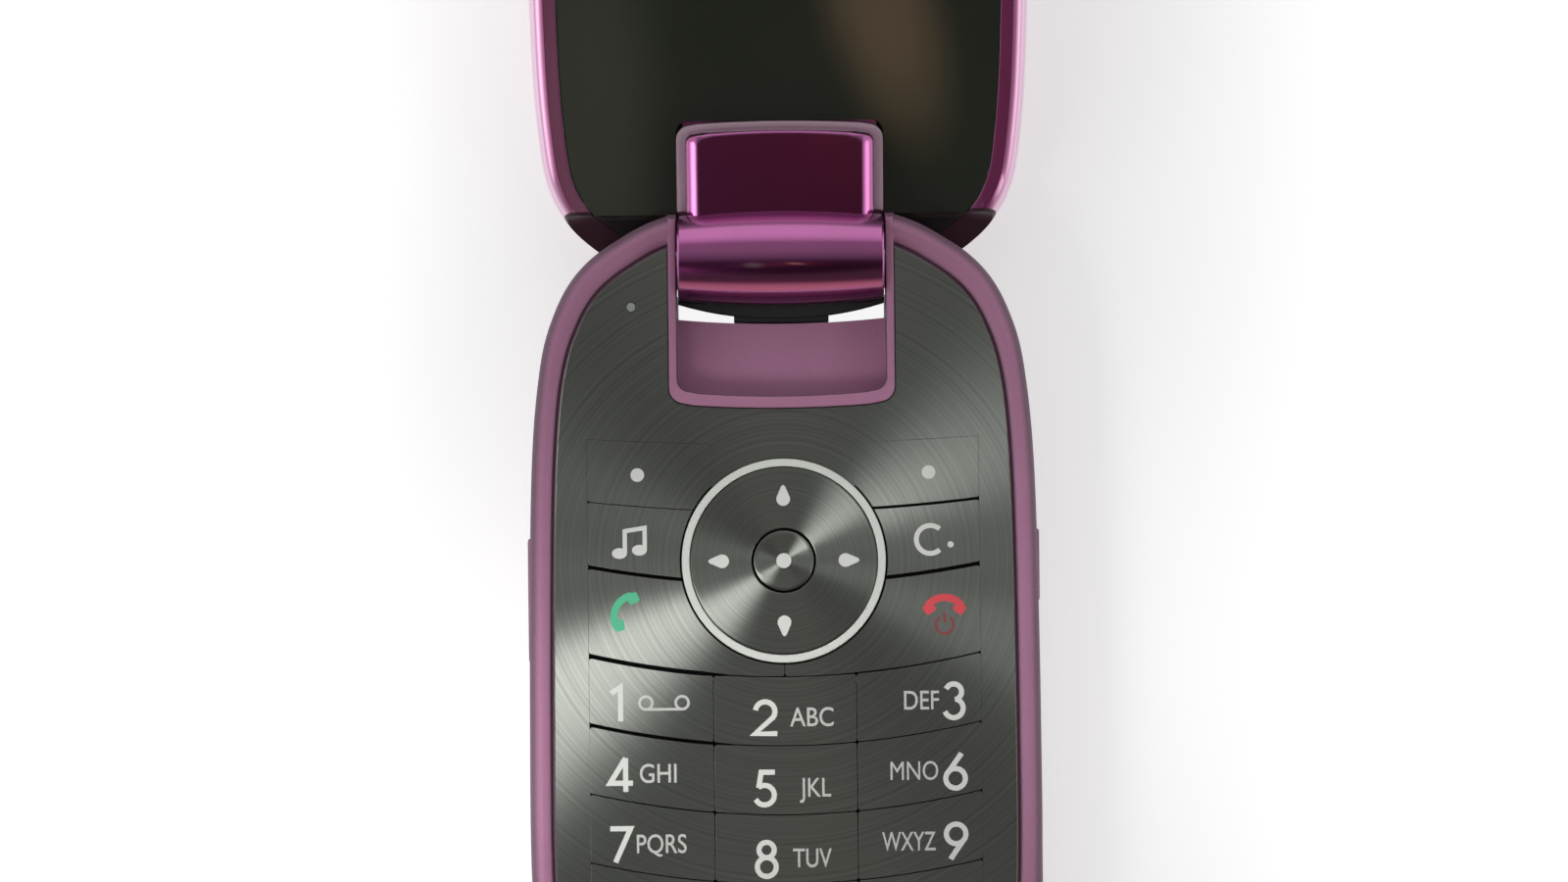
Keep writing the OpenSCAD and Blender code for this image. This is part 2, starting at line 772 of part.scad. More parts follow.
module hinge_bridge() {
    color("#1b1c1b")
    difference() {
        union() {
            block([-bridge_half, axis_y - bay_d(bridge_half) + 0.02, bridge_z[0]],
                [bridge_half, ear_back_y - 0.6, bridge_z[1]]);
            // tongue clipped in the end wall
            block([-bridge_tongue[0], axis_y - bridge_tongue[1], bridge_tongue[2]],
                [bridge_tongue[0], axis_y - bay_d_end, bridge_tongue[3]]);
        }
        hinge_rod(-6, 6, saddle_r);
    }
}

/* ---- display half, drawn closed ---- */

// Edge of the display half, as [inset, height over its face]
lid_edge = [
    [1.3, 0], [0.75, 0.25], [0.3, 0.7], [0.07, 1.3], [0, 2.0], [0.15, 3.2], [0.65, 4.3],
    [1.7, 5.3], [3.4, lid_t]];

module lid_outer() {
    loft([for (e = lid_edge) [lid_inset + e[0], lid_z + e[1]]]);
}

module lid_prism(inset, z0, z1) {
    prism(lid_inset + inset, z0, z1);
}

// Everything that the display half leaves free about the hinge axis
module hinge_clearance() {
    hinge_rod(-30, 30, cove_r);
    hinge_rod(-bay_half, bay_half, barrel_r + 0.05);
    block([-bay_half, axis_y - neck_reach - 0.1, axis_z - 1], [bay_half, axis_y + 2, frame_z + 0.3]);
    // the tail ends just past the axis, rounded about it so that it clears the table
    block([-30, axis_y + tail_s, 0], [30, axis_y + 20, 40]);
    difference() {
        block([-30, axis_y, axis_z], [30, axis_y + 20, 40]);
        hinge_rod(-31, 31, tail_r);
    }
}

module lid_outer_cover() {
    color("#8a2f78")
    lid_place()
    difference() {
        lid_outer();
        lid_prism(lid_rim_w, lid_z - 1, lid_z + 4.0);
        lid_prism(3.0, lid_z + 3.9, lid_top_z - lid_skin);
        hinge_clearance();
        // seats of the outer window and the camera
        outer_window_shape(0, lid_top_z - 0.6, lid_top_z + 1);
        outer_window_shape(-1.5, lid_top_z - 3, lid_top_z);
        translate([0, axis_y - camera_d, lid_top_z - 3]) cylinder(h = 5, r = 3.4);
    }
}

module outer_window_shape(grow, z0, z1) {
    translate([0, axis_y - (outer_view[1] + outer_view[2]) / 2, 0])
        rounded_plate([2 * (outer_view[0] + grow + 2), outer_view[2] - outer_view[1] + 2 * grow + 4],
            2, z0, z1);
}

module lid_inner_frame() {
    color("#232422")
    lid_place()
    difference() {
        lid_prism(lid_rim_w + fit, frame_z, frame_z + frame_t);
        screen_block(0.3, 0);
        hinge_clearance();
        block([-9.6, axis_y - 19.2, 0], [9.6, 60, frame_z + tongue_t + fit]);
        earpiece_shape(2.2, 0, 40);
        for (p = lid_screw_places)
            translate([p[0], p[1], 0]) cylinder(h = 40, r = screw_r);
    }
}

// The display's space, grown sideways by play, from the glass down to a depth
module screen_block(play, z0) {
    block([-screen[0] - play, axis_y - screen[2] - play, z0],
        [screen[0] + play, axis_y - screen[1] + play, 40]);
}

module earpiece_shape(grow, z0, z1) {
    translate([0, axis_y - 79, 0]) rounded_plate([9 + 2 * grow, 1.4 + 2 * grow], 0.65 + grow, z0, z1);
}

module display_window() {
    color([0.06, 0.06, 0.055, 0.9])
    lid_place()
    difference() {
        lid_prism(lid_rim_w + fit, glass_z, frame_z);
        hinge_clearance();
        block([-30, axis_y, 0], [30, 60, 40]);
        earpiece_shape(0, 0, 40);
    }
}

module main_display() {
    color("#15171a")
    lid_place()
    block([-screen[0], axis_y - screen[2], frame_z], [screen[0], axis_y - screen[1], frame_z + screen_t]);
}

module lid_board() {
    color("#1d5a3c")
    lid_place()
    difference() {
        lid_prism(3.0, lid_board_z, lid_board_z + lid_board_t);
        block([-30, axis_y - 19.6, 0], [30, 60, 40]);
        block([-30, -60, 0], [30, axis_y - 76, 40]);
        for (p = lid_screw_places)
            translate([p[0], p[1], 0]) cylinder(h = 40, r = 2);
        translate([0, axis_y - camera_d, 0]) cylinder(h = 40, r = 3.5);
    }
}

module earpiece() {
    color("#3a3b3d")
    lid_place() {
        earpiece_shape(1.6, frame_z, frame_z + 2);
        earpiece_shape(-0.1, frame_z - 0.4, frame_z + 0.1);
    }
}

module outer_display() {
    color("#202428")
    lid_place()
    outer_window_shape(-1.7, lid_top_z - 0.65 - outer_screen_t, lid_top_z - 0.65);
}

module outer_window() {
    color("#101112")
    lid_place() outer_window_shape(-fit, lid_top_z - 0.6, lid_top_z);
}

module camera_module() {
    color("#1a1b1d")
    lid_place()
    translate([0, axis_y - camera_d, 0]) {
        difference() {
            translate([0, 0, frame_z + screen_t]) cylinder(h = lid_top_z - frame_z - screen_t, r = 3.35);
            translate([0, 0, lid_top_z - 0.5]) cylinder(h = 1, r = 2.2);
        }
    }
}

module lid_bumpers() {
    color("#2a2b2a")
    lid_place()
    for (sx = [-1, 1])
        translate([sx * 15.5, axis_y - 77, lid_z - 0.25]) cylinder(h = 0.33, r = 1.1);
}

module lid_flex() {
    color("#b5651d")
    lid_place()
    block([-3.5, axis_y - camera_d + 3.5, lid_board_z - 0.15], [3.5, axis_y - 14, lid_board_z]);
}

module lid_screws() {
    color("silver")
    lid_place()
    for (p = lid_screw_places) translate([p[0], p[1], 0]) {
        translate([0, 0, frame_z + 0.2]) cylinder(h = frame_t + 0.6, r = screw_r);
        translate([0, 0, frame_z + frame_t + 0.1]) cylinder(h = 0.7, r = screw_head_r);
    }
}

/* ---- all the pieces ---- */

base_rear_housing();
base_front_frame();
battery_cover();
battery_pack();
battery_contacts();
sim_holder();
main_board();
shield_cans();
antenna();
loudspeaker();
vibration_motor();
microphone();
charging_socket();
port_cover();
dome_sheet();
rubber_keymat();
keypad_panel();
nav_light_ring();
nav_carrier();
nav_pad();
ok_key();
for (k = key_list) key_cap(k);
volume_rocker();
camera_key();
status_light();
hinge_bridge();
hinge_pin();
hinge_cam();
hinge_cartridge();
hinge_barrel();
base_screws();
lid_outer_cover();
lid_inner_frame();
display_window();
main_display();
lid_board();
earpiece();
outer_window();
outer_display();
camera_module();
lid_bumpers();
lid_flex();
lid_screws();
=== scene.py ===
"""Looks of an open flip phone, built round its packed construction.

The keypad half lies on its flat back with +Z up, and the display half is swung open about the
hinge. The classes hold their sizes in millimetres and model in millimetres; a finished piece is
scaled to metres, and its place is in its mesh.
"""

from __future__ import annotations

import json
import logging
import math
from dataclasses import dataclass
from enum import Enum
from functools import cached_property
from typing import ClassVar, Sequence

import bmesh
import bpy
from mathutils import Matrix, Vector

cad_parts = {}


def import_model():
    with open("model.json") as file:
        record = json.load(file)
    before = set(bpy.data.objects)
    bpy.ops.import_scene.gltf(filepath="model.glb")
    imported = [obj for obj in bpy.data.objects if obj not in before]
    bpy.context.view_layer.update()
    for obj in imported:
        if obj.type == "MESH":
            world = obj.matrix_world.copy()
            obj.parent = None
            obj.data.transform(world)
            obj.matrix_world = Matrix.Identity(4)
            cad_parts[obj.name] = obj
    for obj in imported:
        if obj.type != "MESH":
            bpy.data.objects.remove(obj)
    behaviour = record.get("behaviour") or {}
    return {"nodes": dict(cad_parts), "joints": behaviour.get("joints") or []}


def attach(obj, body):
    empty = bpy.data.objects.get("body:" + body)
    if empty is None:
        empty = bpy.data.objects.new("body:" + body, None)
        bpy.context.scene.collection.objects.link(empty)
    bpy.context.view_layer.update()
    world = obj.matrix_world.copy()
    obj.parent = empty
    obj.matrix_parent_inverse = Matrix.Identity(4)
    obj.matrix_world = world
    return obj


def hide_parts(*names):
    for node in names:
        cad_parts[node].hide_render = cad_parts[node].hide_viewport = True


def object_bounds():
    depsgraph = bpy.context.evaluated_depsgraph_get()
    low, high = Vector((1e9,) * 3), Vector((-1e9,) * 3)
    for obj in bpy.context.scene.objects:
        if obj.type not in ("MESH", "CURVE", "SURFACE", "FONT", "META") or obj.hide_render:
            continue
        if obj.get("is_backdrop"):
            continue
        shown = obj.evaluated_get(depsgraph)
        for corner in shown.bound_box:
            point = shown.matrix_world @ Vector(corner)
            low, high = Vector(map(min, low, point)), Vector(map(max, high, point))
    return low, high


LOG = logging.getLogger("flip_phone")
MM = 0.001
# Further out than any piece reaches, for shapes that cut right across.
REACH = 30.0
# A sharp corner of a band is drawn out to at most one over this.
SHARPEST = 0.35
# How much of a side the round of a corner may use up.
CORNER_SHARE = 0.9
# Nearly all of a noise texture's values lie between these two.
NOISE_SPAN = (0.3, 0.7)
Ring = list[Vector]
Plan = list[tuple[float, float]]
Sizes = tuple[float, ...]
Piece = bpy.types.Object
Tree = bpy.types.NodeTree
Socket = bpy.types.NodeSocket


# ---------------------------------------------------------------- colour and nodes


def linear(code: str) -> Sizes:
    """Turns an sRGB hex value into a linear colour.

    Args:
        code: The colour as #rrggbb.

    Returns:
        Red, green, blue and a full alpha.
    """
    parts = [int(code[i : i + 2], 16) / 255 for i in (1, 3, 5)]
    bent = [p / 12.92 if p <= 0.04045 else ((p + 0.055) / 1.055) ** 2.4 for p in parts]
    return (bent[0], bent[1], bent[2], 1.0)


def add_node(tree: Tree, kind: str, feeds: dict | None = None, **settings: object) -> bpy.types.Node:
    """Adds one shader node with its settings and links.

    Args:
        tree: The node tree that takes it.
        kind: The node's type, without Blender's ShaderNode prefix.
        feeds: A value or an output socket for each input, by name or number.
        settings: Properties of the node.

    Returns:
        The node.
    """
    node = tree.nodes.new("ShaderNode" + kind)
    for key, value in settings.items():
        setattr(node, key, value)
    for key, value in (feeds or {}).items():
        if isinstance(value, Socket):
            tree.links.new(value, node.inputs[key])
        else:
            node.inputs[key].default_value = value
    return node


def ramp(
    tree: Tree, value: Socket, span: Sequence[float] = (0.0, 1.0),
    result: Sequence[float] = (0.0, 1.0), smooth: bool = False,
) -> Socket:
    """Maps a value from one span to another.

    Args:
        tree: The node tree.
        value: The socket that carries the value.
        span: Where the value starts and ends.
        result: What it becomes there.
        smooth: Whether it eases in and out.

    Returns:
        The output socket.
    """
    feeds = {"Value": value, "From Min": span[0], "From Max": span[1], "To Min": result[0],
             "To Max": result[1]}
    kind = "SMOOTHSTEP" if smooth else "LINEAR"
    return add_node(tree, "MapRange", feeds, interpolation_type=kind).outputs[0]


def sums(tree: Tree, operation: str, *values: object) -> Socket:
    """Adds a calculation with numbers, and returns its result."""
    return add_node(tree, "Math", dict(enumerate(values)), operation=operation).outputs[0]


def vector(tree: Tree, operation: str, *values: object) -> Socket:
    """Adds a calculation with vectors, and returns its result, a vector or a number."""
    node = add_node(tree, "VectorMath", dict(enumerate(values)), operation=operation)
    plain = operation in ("LENGTH", "DISTANCE", "DOT_PRODUCT")
    return node.outputs["Value" if plain else "Vector"]


def blend(tree: Tree, share: Socket, *colours: object) -> Socket:
    """Mixes two colours, each a value or a socket, by a share, and returns the result."""
    mixed = add_node(tree, "Mix", {0: share}, data_type="RGBA")
    for entry, colour in zip([s for s in mixed.inputs if s.type == "RGBA"], colours):
        if isinstance(colour, Socket):
            tree.links.new(colour, entry)
        else:
            entry.default_value = colour
    return next(s for s in mixed.outputs if s.type == "RGBA")


def blank(name: str) -> bpy.types.Material:
    """Makes a material whose node tree is empty."""
    made = bpy.data.materials.new(name)
    made.use_nodes = True
    made.node_tree.nodes.clear()
    return made


# ---------------------------------------------------------------- finishes


@dataclass(frozen=True)
class Finish:
    """What a surface is made of, and how it was made.

    The slot is the name of the finish in the construction's record.
    """

    name: str
    slot: str
    colour: str = "#808080"
    shade: str = "#707070"
    metallic: float = 0.0
    roughness: float = 0.4
    ior: float = 1.5
    coat: float = 0.0
    coat_roughness: float = 0.05
    coat_ior: float = 1.5
    grain_mm: float = 0.3
    grain_depth_mm: float = 0.004
    mottle: float = 0.5
    mottle_mm: float = 9.0
    rough_span: Sizes = (0.9, 1.12)

    def material(self) -> bpy.types.Material:
        """Returns the finish's material, made at its first use."""
        found = bpy.data.materials.get(self.name)
        if found:
            return found
        made = blank(self.name)
        tree = made.node_tree
        shader = add_node(tree, "BsdfPrincipled")
        add_node(tree, "OutputMaterial", {"Surface": shader.outputs[0]})
        self.set_constants(shader)
        self.dress(tree, shader)
        return made

    def set_constants(self, shader: bpy.types.Node) -> None:
        """Sets the numbers that are the same all over the surface."""
        numbers = {"Metallic": self.metallic, "Coat Weight": self.coat,
                   "Coat Roughness": self.coat_roughness, "Coat IOR": self.coat_ior}
        if not self.metallic:
            numbers["IOR"] = self.ior
        for name, number in numbers.items():
            shader.inputs[name].default_value = number

    def cloud(self, tree: Tree, size_mm: float, high: float = 1.0) -> Socket:
        """Makes a soft, irregular variation.

        Args:
            tree: The material's node tree.
            size_mm: About how wide its spots are.
            high: The highest value; the lowest is 0.

        Returns:
            The output socket that carries it.
        """
        place = add_node(tree, "TexCoord").outputs["Object"]
        feeds = {"Vector": place, "Scale": 1 / (size_mm * MM), "Detail": 3.0}
        return ramp(tree, add_node(tree, "TexNoise", feeds).outputs["Fac"], NOISE_SPAN, (0, high))

    def tint(self, tree: Tree, share: Socket) -> Socket:
        """Mixes the finish's two colours by how much of the second one shows."""
        return blend(tree, share, linear(self.colour), linear(self.shade))

    def join(self, tree: Tree, shader: bpy.types.Node, *patterns: Socket) -> None:
        """Links a colour, a pattern for the gloss and one for the relief to the shader."""
        colour, gloss, relief = patterns
        rough = ramp(tree, gloss, result=[self.roughness * part for part in self.rough_span])
        feeds = {"Height": relief, "Distance": self.grain_depth_mm * MM, "Strength": 1.0}
        normal = add_node(tree, "Bump", feeds).outputs["Normal"]
        for name, socket in (("Base Color", colour), ("Roughness", rough), ("Normal", normal)):
            tree.links.new(socket, shader.inputs[name])

    def dress(self, tree: Tree, shader: bpy.types.Node) -> None:
        """Joins the finish's patterns to its shader."""
        wide = self.cloud(tree, self.mottle_mm, self.mottle)
        fine = self.cloud(tree, self.grain_mm)
        self.join(tree, shader, self.tint(tree, wide), fine, fine)

    def put_on(self, piece: Piece) -> None:
        """Gives the finish to a new piece."""
        piece.data.materials.clear()
        piece.data.materials.append(self.material())

    def put_on_node(self, node: Piece) -> None:
        """Gives the finish to a construction node that stays in view."""
        for place in node.material_slots:
            place.material = self.material()


@dataclass(frozen=True)
class FlakePaint(Finish):
    """Sprayed paint with fine metal flakes: tiny lighter specks in a soft sheen."""

    flake_mm: float = 0.14
    flake: str = "#c9a0bb"
    flake_share: float = 0.22
    flake_span: Sizes = (0.62, 1.0)
    mottle_mm: float = 7.0
    rough_span: Sizes = (0.92, 1.1)

    def dress(self, tree: Tree, shader: bpy.types.Node) -> None:
        """Scatters the flakes over the paint, and gives it a faint orange peel."""
        wide = self.cloud(tree, self.mottle_mm, self.mottle)
        peel = self.cloud(tree, self.grain_mm)
        specks = self.cloud(tree, self.flake_mm)
        lit = ramp(tree, specks, self.flake_span, (0, self.flake_share))
        colour = blend(tree, lit, self.tint(tree, wide), linear(self.flake))
        self.join(tree, shader, colour, specks, peel)


@dataclass(frozen=True)
class FlankPaintedLacquer(FlakePaint):
    """Lacquer whose colour changes on the flanks as they turn from the view; the flank colour is
    painted light, a painted highlight where it is paler and painted shade where it is darker.
    """

    painted_flank: str = "#f3c6e4"
    flank_start: float = 0.08
    flank_full: float = 0.42

    def tint(self, tree: Tree, share: Socket) -> Socket:
        """Mixes the lacquer's colour towards its painted flank colour by the angle that it is seen
        at.
        """
        glance = add_node(tree, "LayerWeight", {"Blend": 0.5}).outputs["Facing"]
        turn = ramp(tree, glance, (self.flank_start, self.flank_full), smooth=True)
        return blend(tree, turn, super().tint(tree, share), linear(self.painted_flank))


@dataclass(frozen=True)
class SpunMetal(Finish):
    """Dark anodised sheet turned on a lathe: fine rings, whose gloss spreads in two wedges."""

    centre: Sizes = (0.0, 0.0)
    pitch_mm: float = 0.34
    anisotropy: float = 1.0
    twist: float = 0.0
    rough_span: Sizes = (0.85, 1.15)

    def set_constants(self, shader: bpy.types.Node) -> None:
        """Sets the metal's constants, with the stretch of its gloss."""
        super().set_constants(shader)
        shader.inputs["Anisotropic"].default_value = self.anisotropy
        shader.inputs["Anisotropic Rotation"].default_value = self.twist / 360 % 1.0

    def dress(self, tree: Tree, shader: bpy.types.Node) -> None:
        """Lays the rings about the centre and turns the gloss outwards from it."""
        place = add_node(tree, "TexCoord").outputs["Object"]
        centre = (self.centre[0] * MM, self.centre[1] * MM, 0.0)
        flat = vector(tree, "MULTIPLY", vector(tree, "SUBTRACT", place, centre), (1.0, 1.0, 0.0))
        count = sums(tree, "DIVIDE", vector(tree, "LENGTH", flat), self.pitch_mm * MM)
        feeds = {"W": count, "Scale": 1.0, "Detail": 4.0}
        rings = add_node(tree, "TexNoise", feeds, noise_dimensions="1D").outputs["Fac"]
        self.join(tree, shader, self.tint(tree, ramp(tree, rings, NOISE_SPAN)), rings, rings)
        tree.links.new(vector(tree, "NORMALIZE", flat), shader.inputs["Tangent"])


@dataclass(frozen=True)
class PaintedGlow(Finish):
    """Milky moulding or ink with a faint painted glow: an emission that makes it a little brighter,
    though no lamp lies behind it.
    """

    glow: float = 0.1

    def set_constants(self, shader: bpy.types.Node) -> None:
        """Sets the painted glow besides the usual numbers."""
        super().set_constants(shader)
        shader.inputs["Emission Color"].default_value = linear(self.colour)
        shader.inputs["Emission Strength"].default_value = self.glow


# Satin metallic paint on moulded polycarbonate, with painted shade: its colour darkens on the slopes
# as they turn from the view.
SATIN_MAUVE = FlankPaintedLacquer(
    "satin_mauve_paint", "satin_mauve", "#ab7795", "#a26f8c",
    ior=1.35, roughness=0.58, grain_mm=0.5, grain_depth_mm=0.0015,
    painted_flank="#6f5365", flank_start=0.03, flank_full=0.5,
)
# Candy lacquer over bright metal flake, deep magenta, with a painted highlight: it turns pale pink
# on the flanks as they turn from the view.
CANDY_MAGENTA = FlankPaintedLacquer(
    "candy_magenta_lacquer", "gloss_magenta", "#a0467f", "#933e6f",
    metallic=0.55, roughness=0.18, coat=1.0, coat_roughness=0.03, coat_ior=1.7, grain_mm=0.9,
    grain_depth_mm=0.0006, flake="#d77cc8", flake_share=0.06,
)
# The same lacquer over a vacuum-plated moulding: brighter, and with sharper gloss.
BARREL_MAGENTA = FlakePaint(
    "candy_magenta_barrel", "barrel_magenta", "#a8458f", "#9a3c82",
    metallic=1.0, roughness=0.2, coat=1.0, coat_roughness=0.04, coat_ior=1.8, grain_mm=0.9,
    grain_depth_mm=0.0006, flake="#d77cc8", flake_share=0.06,
)
# The barrel's lacquer on the neck's skirt, recoloured a dim mauve-grey as a painted reflection.
SKIRT_PAINTED_REFLECTION = Finish(
    "neck_skirt_painted_reflection", "barrel_magenta", "#b99dac", "#af94a2",
    metallic=0.1, roughness=0.35, grain_mm=0.5, grain_depth_mm=0.001,
)
# Back-printed polished glass: nearly black, with mirror gloss.
BLACK_GLASS = Finish(
    "black_printed_glass", "black_glass", "#2f322b", "#33352e",
    roughness=0.03, ior=1.5, grain_mm=6.0, grain_depth_mm=0.0004,
)
# Anodised aluminium foil, spun about the navigation pad, on the panel and the keys.
SPUN_METAL = SpunMetal(
    "dark_spun_sheet", "spun_metal", "#888b85", "#797c76", metallic=1.0, roughness=0.37,
    grain_depth_mm=0.0012, centre=(0.0, 12.7),
)
# The same foil on the pad and its middle key, each turned on its own, so its grain is finer.
PAD_METAL = SpunMetal(
    "dark_spun_cap", "spun_metal", "#888b85", "#797c76", metallic=1.0, roughness=0.36,
    grain_depth_mm=0.0012, centre=(0.0, 12.7), pitch_mm=0.2, twist=-9.0,
)
# Moulded ABS with a fine spark-eroded grain: black, and never glossy.
BLACK_ABS = Finish(
    "black_moulded_abs", "black_plastic", "#1c1d1c", "#171817",
    roughness=0.5, grain_mm=0.12, grain_depth_mm=0.003,
)
# Polished deep maroon on the cove at the display half's tail: painted shade that stands for the
# lacquer in shade there.
COVE_PAINTED_SHADE = Finish(
    "maroon_painted_shade", "black_plastic", "#3b222b", "#341d26",
    roughness=0.3, grain_mm=0.5, grain_depth_mm=0.002,
)
# Milky acrylic light guide, with a faint painted glow.
LIGHT_GUIDE = PaintedGlow(
    "milky_acrylic", "light_guide", "#cdd0ca", "#c5c8c2",
    roughness=0.4, grain_mm=0.4, grain_depth_mm=0.001, glow=0.04,
)
# The same acrylic, smoked, over the status light.
SMOKED_GUIDE = Finish(
    "smoked_acrylic", "light_guide", "#9da29c", "#959a94",
    roughness=0.35, grain_mm=0.4, grain_depth_mm=0.001,
)
# Thin screen-printed ink, grey where the dark foil shows through it.
SMALL_INK = Finish(
    "pale_grey_ink", "light_guide", "#bcbeb9", "#b4b6b1",
    roughness=0.5, grain_mm=0.2, grain_depth_mm=0.001,
)
# Translucent screen-printed inks, with a faint painted glow.
WHITE_INK = PaintedGlow(
    "white_translucent_ink", "light_guide", "#d0d2cd", "#c8cac5",
    roughness=0.5, grain_mm=0.2, grain_depth_mm=0.001, glow=0.04,
)
GREEN_INK = PaintedGlow(
    "green_translucent_ink", "light_guide", "#4fb68b", "#49ab81",
    roughness=0.45, grain_mm=0.2, grain_depth_mm=0.001, glow=0.08,
)
RED_INK = PaintedGlow(
    "red_translucent_ink", "light_guide", "#d0484f", "#c4424a",
    roughness=0.45, grain_mm=0.2, grain_depth_mm=0.001, glow=0.08,
)
# The same red, printed once and without the painted glow.
DIM_RED_INK = Finish(
    "dim_red_ink", "light_guide", "#8a3f42", "#82393d", roughness=0.45, grain_mm=0.2,
    grain_depth_mm=0.001,
)
# Moulded silicone: dark and matt, with a talc-like grain.
SILICONE = Finish(
    "dark_silicone", "rubber", "#262726", "#2c2d2b", roughness=0.62, ior=1.42,
    grain_mm=0.15, grain_depth_mm=0.002,
)
# Nickel-plated steel, drawn and stamped.
PLATED_STEEL = Finish(
    "nickel_plated_steel", "steel", "#c6c7c8", "#b9babc", metallic=1.0, roughness=0.24,
    grain_mm=0.25, grain_depth_mm=0.0015,
)
# Epoxy glass board under green solder mask.
SOLDER_MASK = Finish(
    "green_solder_mask", "board", "#1d5a3c", "#174a31", roughness=0.35, grain_mm=0.8,
    grain_depth_mm=0.01,
)
# Polyimide film: amber, with a satin gloss.
POLYIMIDE = Finish(
    "amber_polyimide", "flex", "#b5651d", "#a65a18", roughness=0.3, grain_mm=0.6,
    grain_depth_mm=0.002,
)
# Spring bronze with a thin layer of hard gold.
GOLD_PLATE = Finish(
    "gold_plated_bronze", "gold", "#dcb257", "#d0a54b", metallic=1.0, roughness=0.22,
    grain_mm=0.3, grain_depth_mm=0.001,
)
# A switched-off screen behind its polariser.
DARK_SCREEN = Finish(
    "switched_off_screen", "screen", "#17191b", "#1a1c1f", roughness=0.12, grain_mm=0.2,
    grain_depth_mm=0.0005,
)
# Moulded nylon of the hidden carriers.
GREY_NYLON = Finish(
    "grey_moulded_nylon", "carrier", "#5a5d5f", "#525557", roughness=0.55, grain_mm=0.2,
    grain_depth_mm=0.003,
)
# Shrink-wrapped cell: dark film, slightly wrinkled.
CELL_WRAP = Finish(
    "dark_cell_wrap", "black_plastic", "#2d2e33", "#34353a", roughness=0.34, grain_mm=2.5,
    grain_depth_mm=0.02,
)


# ---------------------------------------------------------------- modelling


def curve_through(points: Sequence[Sequence[float]], steps: int, closed: bool = False) -> list:
    """Draws a smooth curve through points of any dimension.

    Args:
        points: The points in order.
        steps: How many pieces lie between two points.
        closed: Whether the curve comes back to its first point.

    Returns:
        The points of the curve, as tuples.
    """
    count = len(points)

    def at(place: int) -> Sequence[float]:
        """Returns a neighbour, past the ends too."""
        return points[place % count] if closed else points[min(max(place, 0), count - 1)]

    drawn = []
    for place in range(count if closed else count - 1):
        before, start, end, after = (at(place + k) for k in (-1, 0, 1, 2))
        for step in range(steps):
            t = step / steps
            drawn.append(
                tuple(
                    (2 * b + (c - a) * t + (2 * a - 5 * b + 4 * c - d) * t**2
                     + (3 * b - a - 3 * c + d) * t**3) / 2
                    for a, b, c, d in zip(before, start, end, after)
                )
            )
    return drawn if closed else drawn + [tuple(points[-1])]


def arc(centre: Sizes, radius: float, start: float, end: float, steps: int) -> Plan:
    """Returns the points of an arc, its angles in degrees."""
    angles = [math.radians(start + (end - start) * k / steps) for k in range(steps + 1)]
    return [(centre[0] + radius * math.cos(a), centre[1] + radius * math.sin(a)) for a in angles]


def moved_in(plan: Plan, inset: float) -> Plan:
    """Moves the edge of a plan inwards by an even width.

    Args:
        plan: The plan's points, anticlockwise.
        inset: The width; below zero it moves outwards.

    Returns:
        As many points, each moved along its corner's middle line.
    """
    result = []
    for place, point in enumerate(plan):
        before = Vector(plan[place - 1])
        after = Vector(plan[(place + 1) % len(plan)])
        here = Vector(point)
        first, second = (here - before).normalized(), (after - here).normalized()
        normals = Vector((-first.y, first.x)), Vector((-second.y, second.x))
        middle = (normals[0] + normals[1]).normalized()
        reach = inset / max(SHARPEST, middle.dot(normals[0]))
        result.append(tuple(here + middle * reach))
    return result


def rounded(plan: Plan, radius: float, steps: int) -> Plan:
    """Rounds the corners of a plan.

    Args:
        plan: The plan's points, anticlockwise.
        radius: The radius of each corner.
        steps: How many pieces make a corner.

    Returns:
        The new plan, whose slight corners are as they were.
    """
    least = math.radians(25.0)
    result: Plan = []
    for place, point in enumerate(plan):
        here = Vector(point)
        back = Vector(plan[place - 1]) - here
        ahead = Vector(plan[(place + 1) % len(plan)]) - here
        turn = math.pi - back.angle(ahead)
        if turn < least:
            result.append(point)
            continue
        room = CORNER_SHARE * min(back.length, ahead.length)
        reach = min(radius * math.tan(turn / 2), room)
        start, end = here + back.normalized() * reach, here + ahead.normalized() * reach
        for step in range(steps + 1):
            t = step / steps
            result.append(tuple(start * (1 - t) ** 2 + here * 2 * t * (1 - t) + end * t**2))
    return result


def rectangle(low: Sizes, high: Sizes, corner: float = 0.0) -> Plan:
    """Returns a rectangle between two corners, with rounded corners if asked."""
    plan = [(low[0], low[1]), (high[0], low[1]), (high[0], high[1]), (low[0], high[1])]
    return rounded(plan, corner, 8) if corner else plan


def level(plan: Plan, height: float) -> Ring:
    """Lifts a plan to a height."""
    return [Vector((x, y, height)) for x, y in plan]


class Lean(Enum):
    """Which way a turned piece's axis points, as the order of its coordinates."""

    UP = (0, 1, 2)
    ACROSS = (2, 0, 1)


class Change(Enum):
    """How one shape changes another."""

    JOIN = "UNION"
    CUT = "DIFFERENCE"
    KEEP = "INTERSECT"


